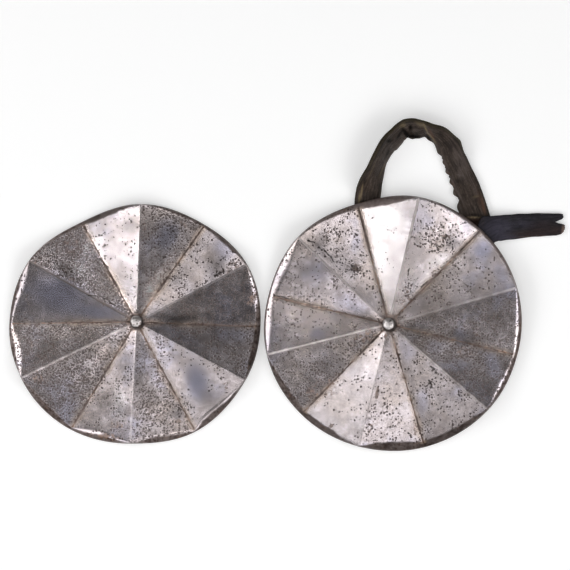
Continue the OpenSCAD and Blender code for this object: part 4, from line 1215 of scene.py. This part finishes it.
scrapX, scrapY = discs["left"]["rivetAt"]
a = math.radians(scrap["bearing"])
scrapRoute = [(scrapX + math.cos(a) * d, scrapY + math.sin(a) * d, 0, hanging["width"])
              for d in scrap["stations"]]
scrapPaint = dict(dark=[], tan=[], russet=[(-91, -15, 6, 4, 0, 0.6)], grey=[])
scrapBand = loftBand("left_leather_remnant", scrapRoute, hanging["thick"], 2, 0.7, scrapUnder, 26,
                     tear=scrapTear, attributes=scrapPaint)[0]
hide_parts("left_leather_remnant")
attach(scrapBand, "left_besagew")

leatherLook = dict(deep=(0.0125, 0.0078, 0.0056), mid=(0.054, 0.0375, 0.029), wear=(0.125, 0.096, 0.079),
                   grey=(0.095, 0.074, 0.067), seam=(0.10, 0.08, 0.068), paintedShade=(0.003, 0.002, 0.0015),
                   cut=(0.06, 0.045, 0.024), tan=(0.20, 0.15, 0.085), russet=(0.085, 0.040, 0.023), gloss=0.2)


def strapMaterial():
    look = leatherLook
    material, tree, shader = newMaterial("strapLeather")
    spot = place(tree, "ShaderNodeTexCoord").outputs["Object"]
    values = {"Vector": spot, "Along": attribute(tree, "along"), "Across": attribute(tree, "across")}
    grain = groupNode(tree, leatherGrain, values)
    colour = mixed(ramp(grain["Value"], 0.32, 0.68), look["deep"], look["mid"])
    colour = mixed(times(grain["Wear"], 0.45), colour, look["wear"])
    shown = times(attribute(tree, "grey"), ramp(grain["Streak"], 0.35, 0.6, 0.3, 1))
    colour = mixed(shown, colour, look["grey"])
    seam = times(ramp(attribute(tree, "innerGap"), 0.6, 2.4, 1, 0), ramp(grain["Streak"], 0.3, 0.6, 0.2, 0.7))
    colour = mixed(seam, colour, look["seam"])
    # painted shade along the outer edge, where the band rounds down
    colour = mixed(times(ramp(attribute(tree, "outerGap"), 0.3, 1.4, 1, 0), 0.75), colour, look["paintedShade"])
    broken = ramp(grain["Value"], 0.3, 0.6, 0.55, 1)
    colour = mixed(times(attribute(tree, "russet"), broken), colour, look["russet"])
    colour = mixed(times(attribute(tree, "tan"), broken), colour, look["tan"])
    # painted shade in the creases and folds and beside the rim: near black and without gloss
    dark = attribute(tree, "dark")
    colour = mixed(dark, colour, look["paintedShade"])
    edges = times(attribute(tree, "cutEdge"), ramp(grain["Value"], 0.3, 0.6, 0.2, 0.6))
    colour = mixed(edges, colour, look["cut"])
    tree.links.new(colour, shader.inputs["Base Color"])
    tree.links.new(ramp(dark, 0, 1, look["gloss"], 0.02, smooth=False), shader.inputs["Specular IOR Level"])
    tree.links.new(ramp(grain["Height"], 0.2, 0.8, 0.68, 0.5), shader.inputs["Roughness"])
    relief(shader, grain["Height"], 0.6, 0.0004)
    return material


buckleLook = dict(deep=(0.0058, 0.0050, 0.0068), mid=(0.0185, 0.0160, 0.0220), wear=(0.045, 0.038, 0.042),
                  blue=(0.040, 0.036, 0.055), brown=(0.024, 0.012, 0.011), tan=(0.22, 0.15, 0.12),
                  cut=(0.006, 0.005, 0.005), gloss=0.2)


def buckleMaterial():
    look = buckleLook
    material, tree, shader = newMaterial("buckleLeather")
    spot = place(tree, "ShaderNodeTexCoord").outputs["Object"]
    values = {"Vector": spot, "Along": attribute(tree, "along"), "Across": attribute(tree, "across")}
    grain = groupNode(tree, leatherGrain, values)
    colour = mixed(ramp(grain["Value"], 0.35, 0.65), look["deep"], look["mid"])
    for stain, share, least in (("blue", "Value", 0.3), ("brown", "Streak", 0.4)):
        shown = times(attribute(tree, stain), ramp(grain[share], 0.3, 0.6, least, 1))
        colour = mixed(shown, colour, look[stain])
    colour = mixed(times(grain["Wear"], 0.3), colour, look["wear"])
    shown = times(attribute(tree, "tan"), ramp(grain["Value"], 0.35, 0.6, 0.4, 1))
    colour = mixed(shown, colour, look["tan"])
    colour = mixed(times(attribute(tree, "cutEdge"), 0.6), colour, look["cut"])
    tree.links.new(colour, shader.inputs["Base Color"])
    shader.inputs["Specular IOR Level"].default_value = look["gloss"]
    tree.links.new(ramp(grain["Height"], 0.2, 0.8, 0.6, 0.42), shader.inputs["Roughness"])
    relief(shader, grain["Height"], 0.6, 0.0004)
    return material


threadLook = dict(dark=(0.018, 0.013, 0.010), light=(0.05, 0.037, 0.028))


def threadMaterial():
    material, tree, shader = newMaterial("strapThread")
    spot = place(tree, "ShaderNodeTexCoord").outputs["Object"]
    waves = {"Vector": spot, "Scale": 900.0, "Distortion": 4.0, "Detail": 2.0}
    fibres = place(tree, "ShaderNodeTexWave", waves)
    colour = mixed(fibres.outputs["Fac"], threadLook["dark"], threadLook["light"])
    tree.links.new(colour, shader.inputs["Base Color"])
    shader.inputs["Roughness"].default_value = 0.75
    relief(shader, fibres.outputs["Fac"], 0.6, 0.0002)
    return material


strapLeather = strapMaterial()
hangingBand.data.materials.append(strapLeather)
scrapBand.data.materials.append(strapLeather)
buckleBand.data.materials.append(buckleMaterial())
stitches.data.materials.append(threadMaterial())
print("straps")
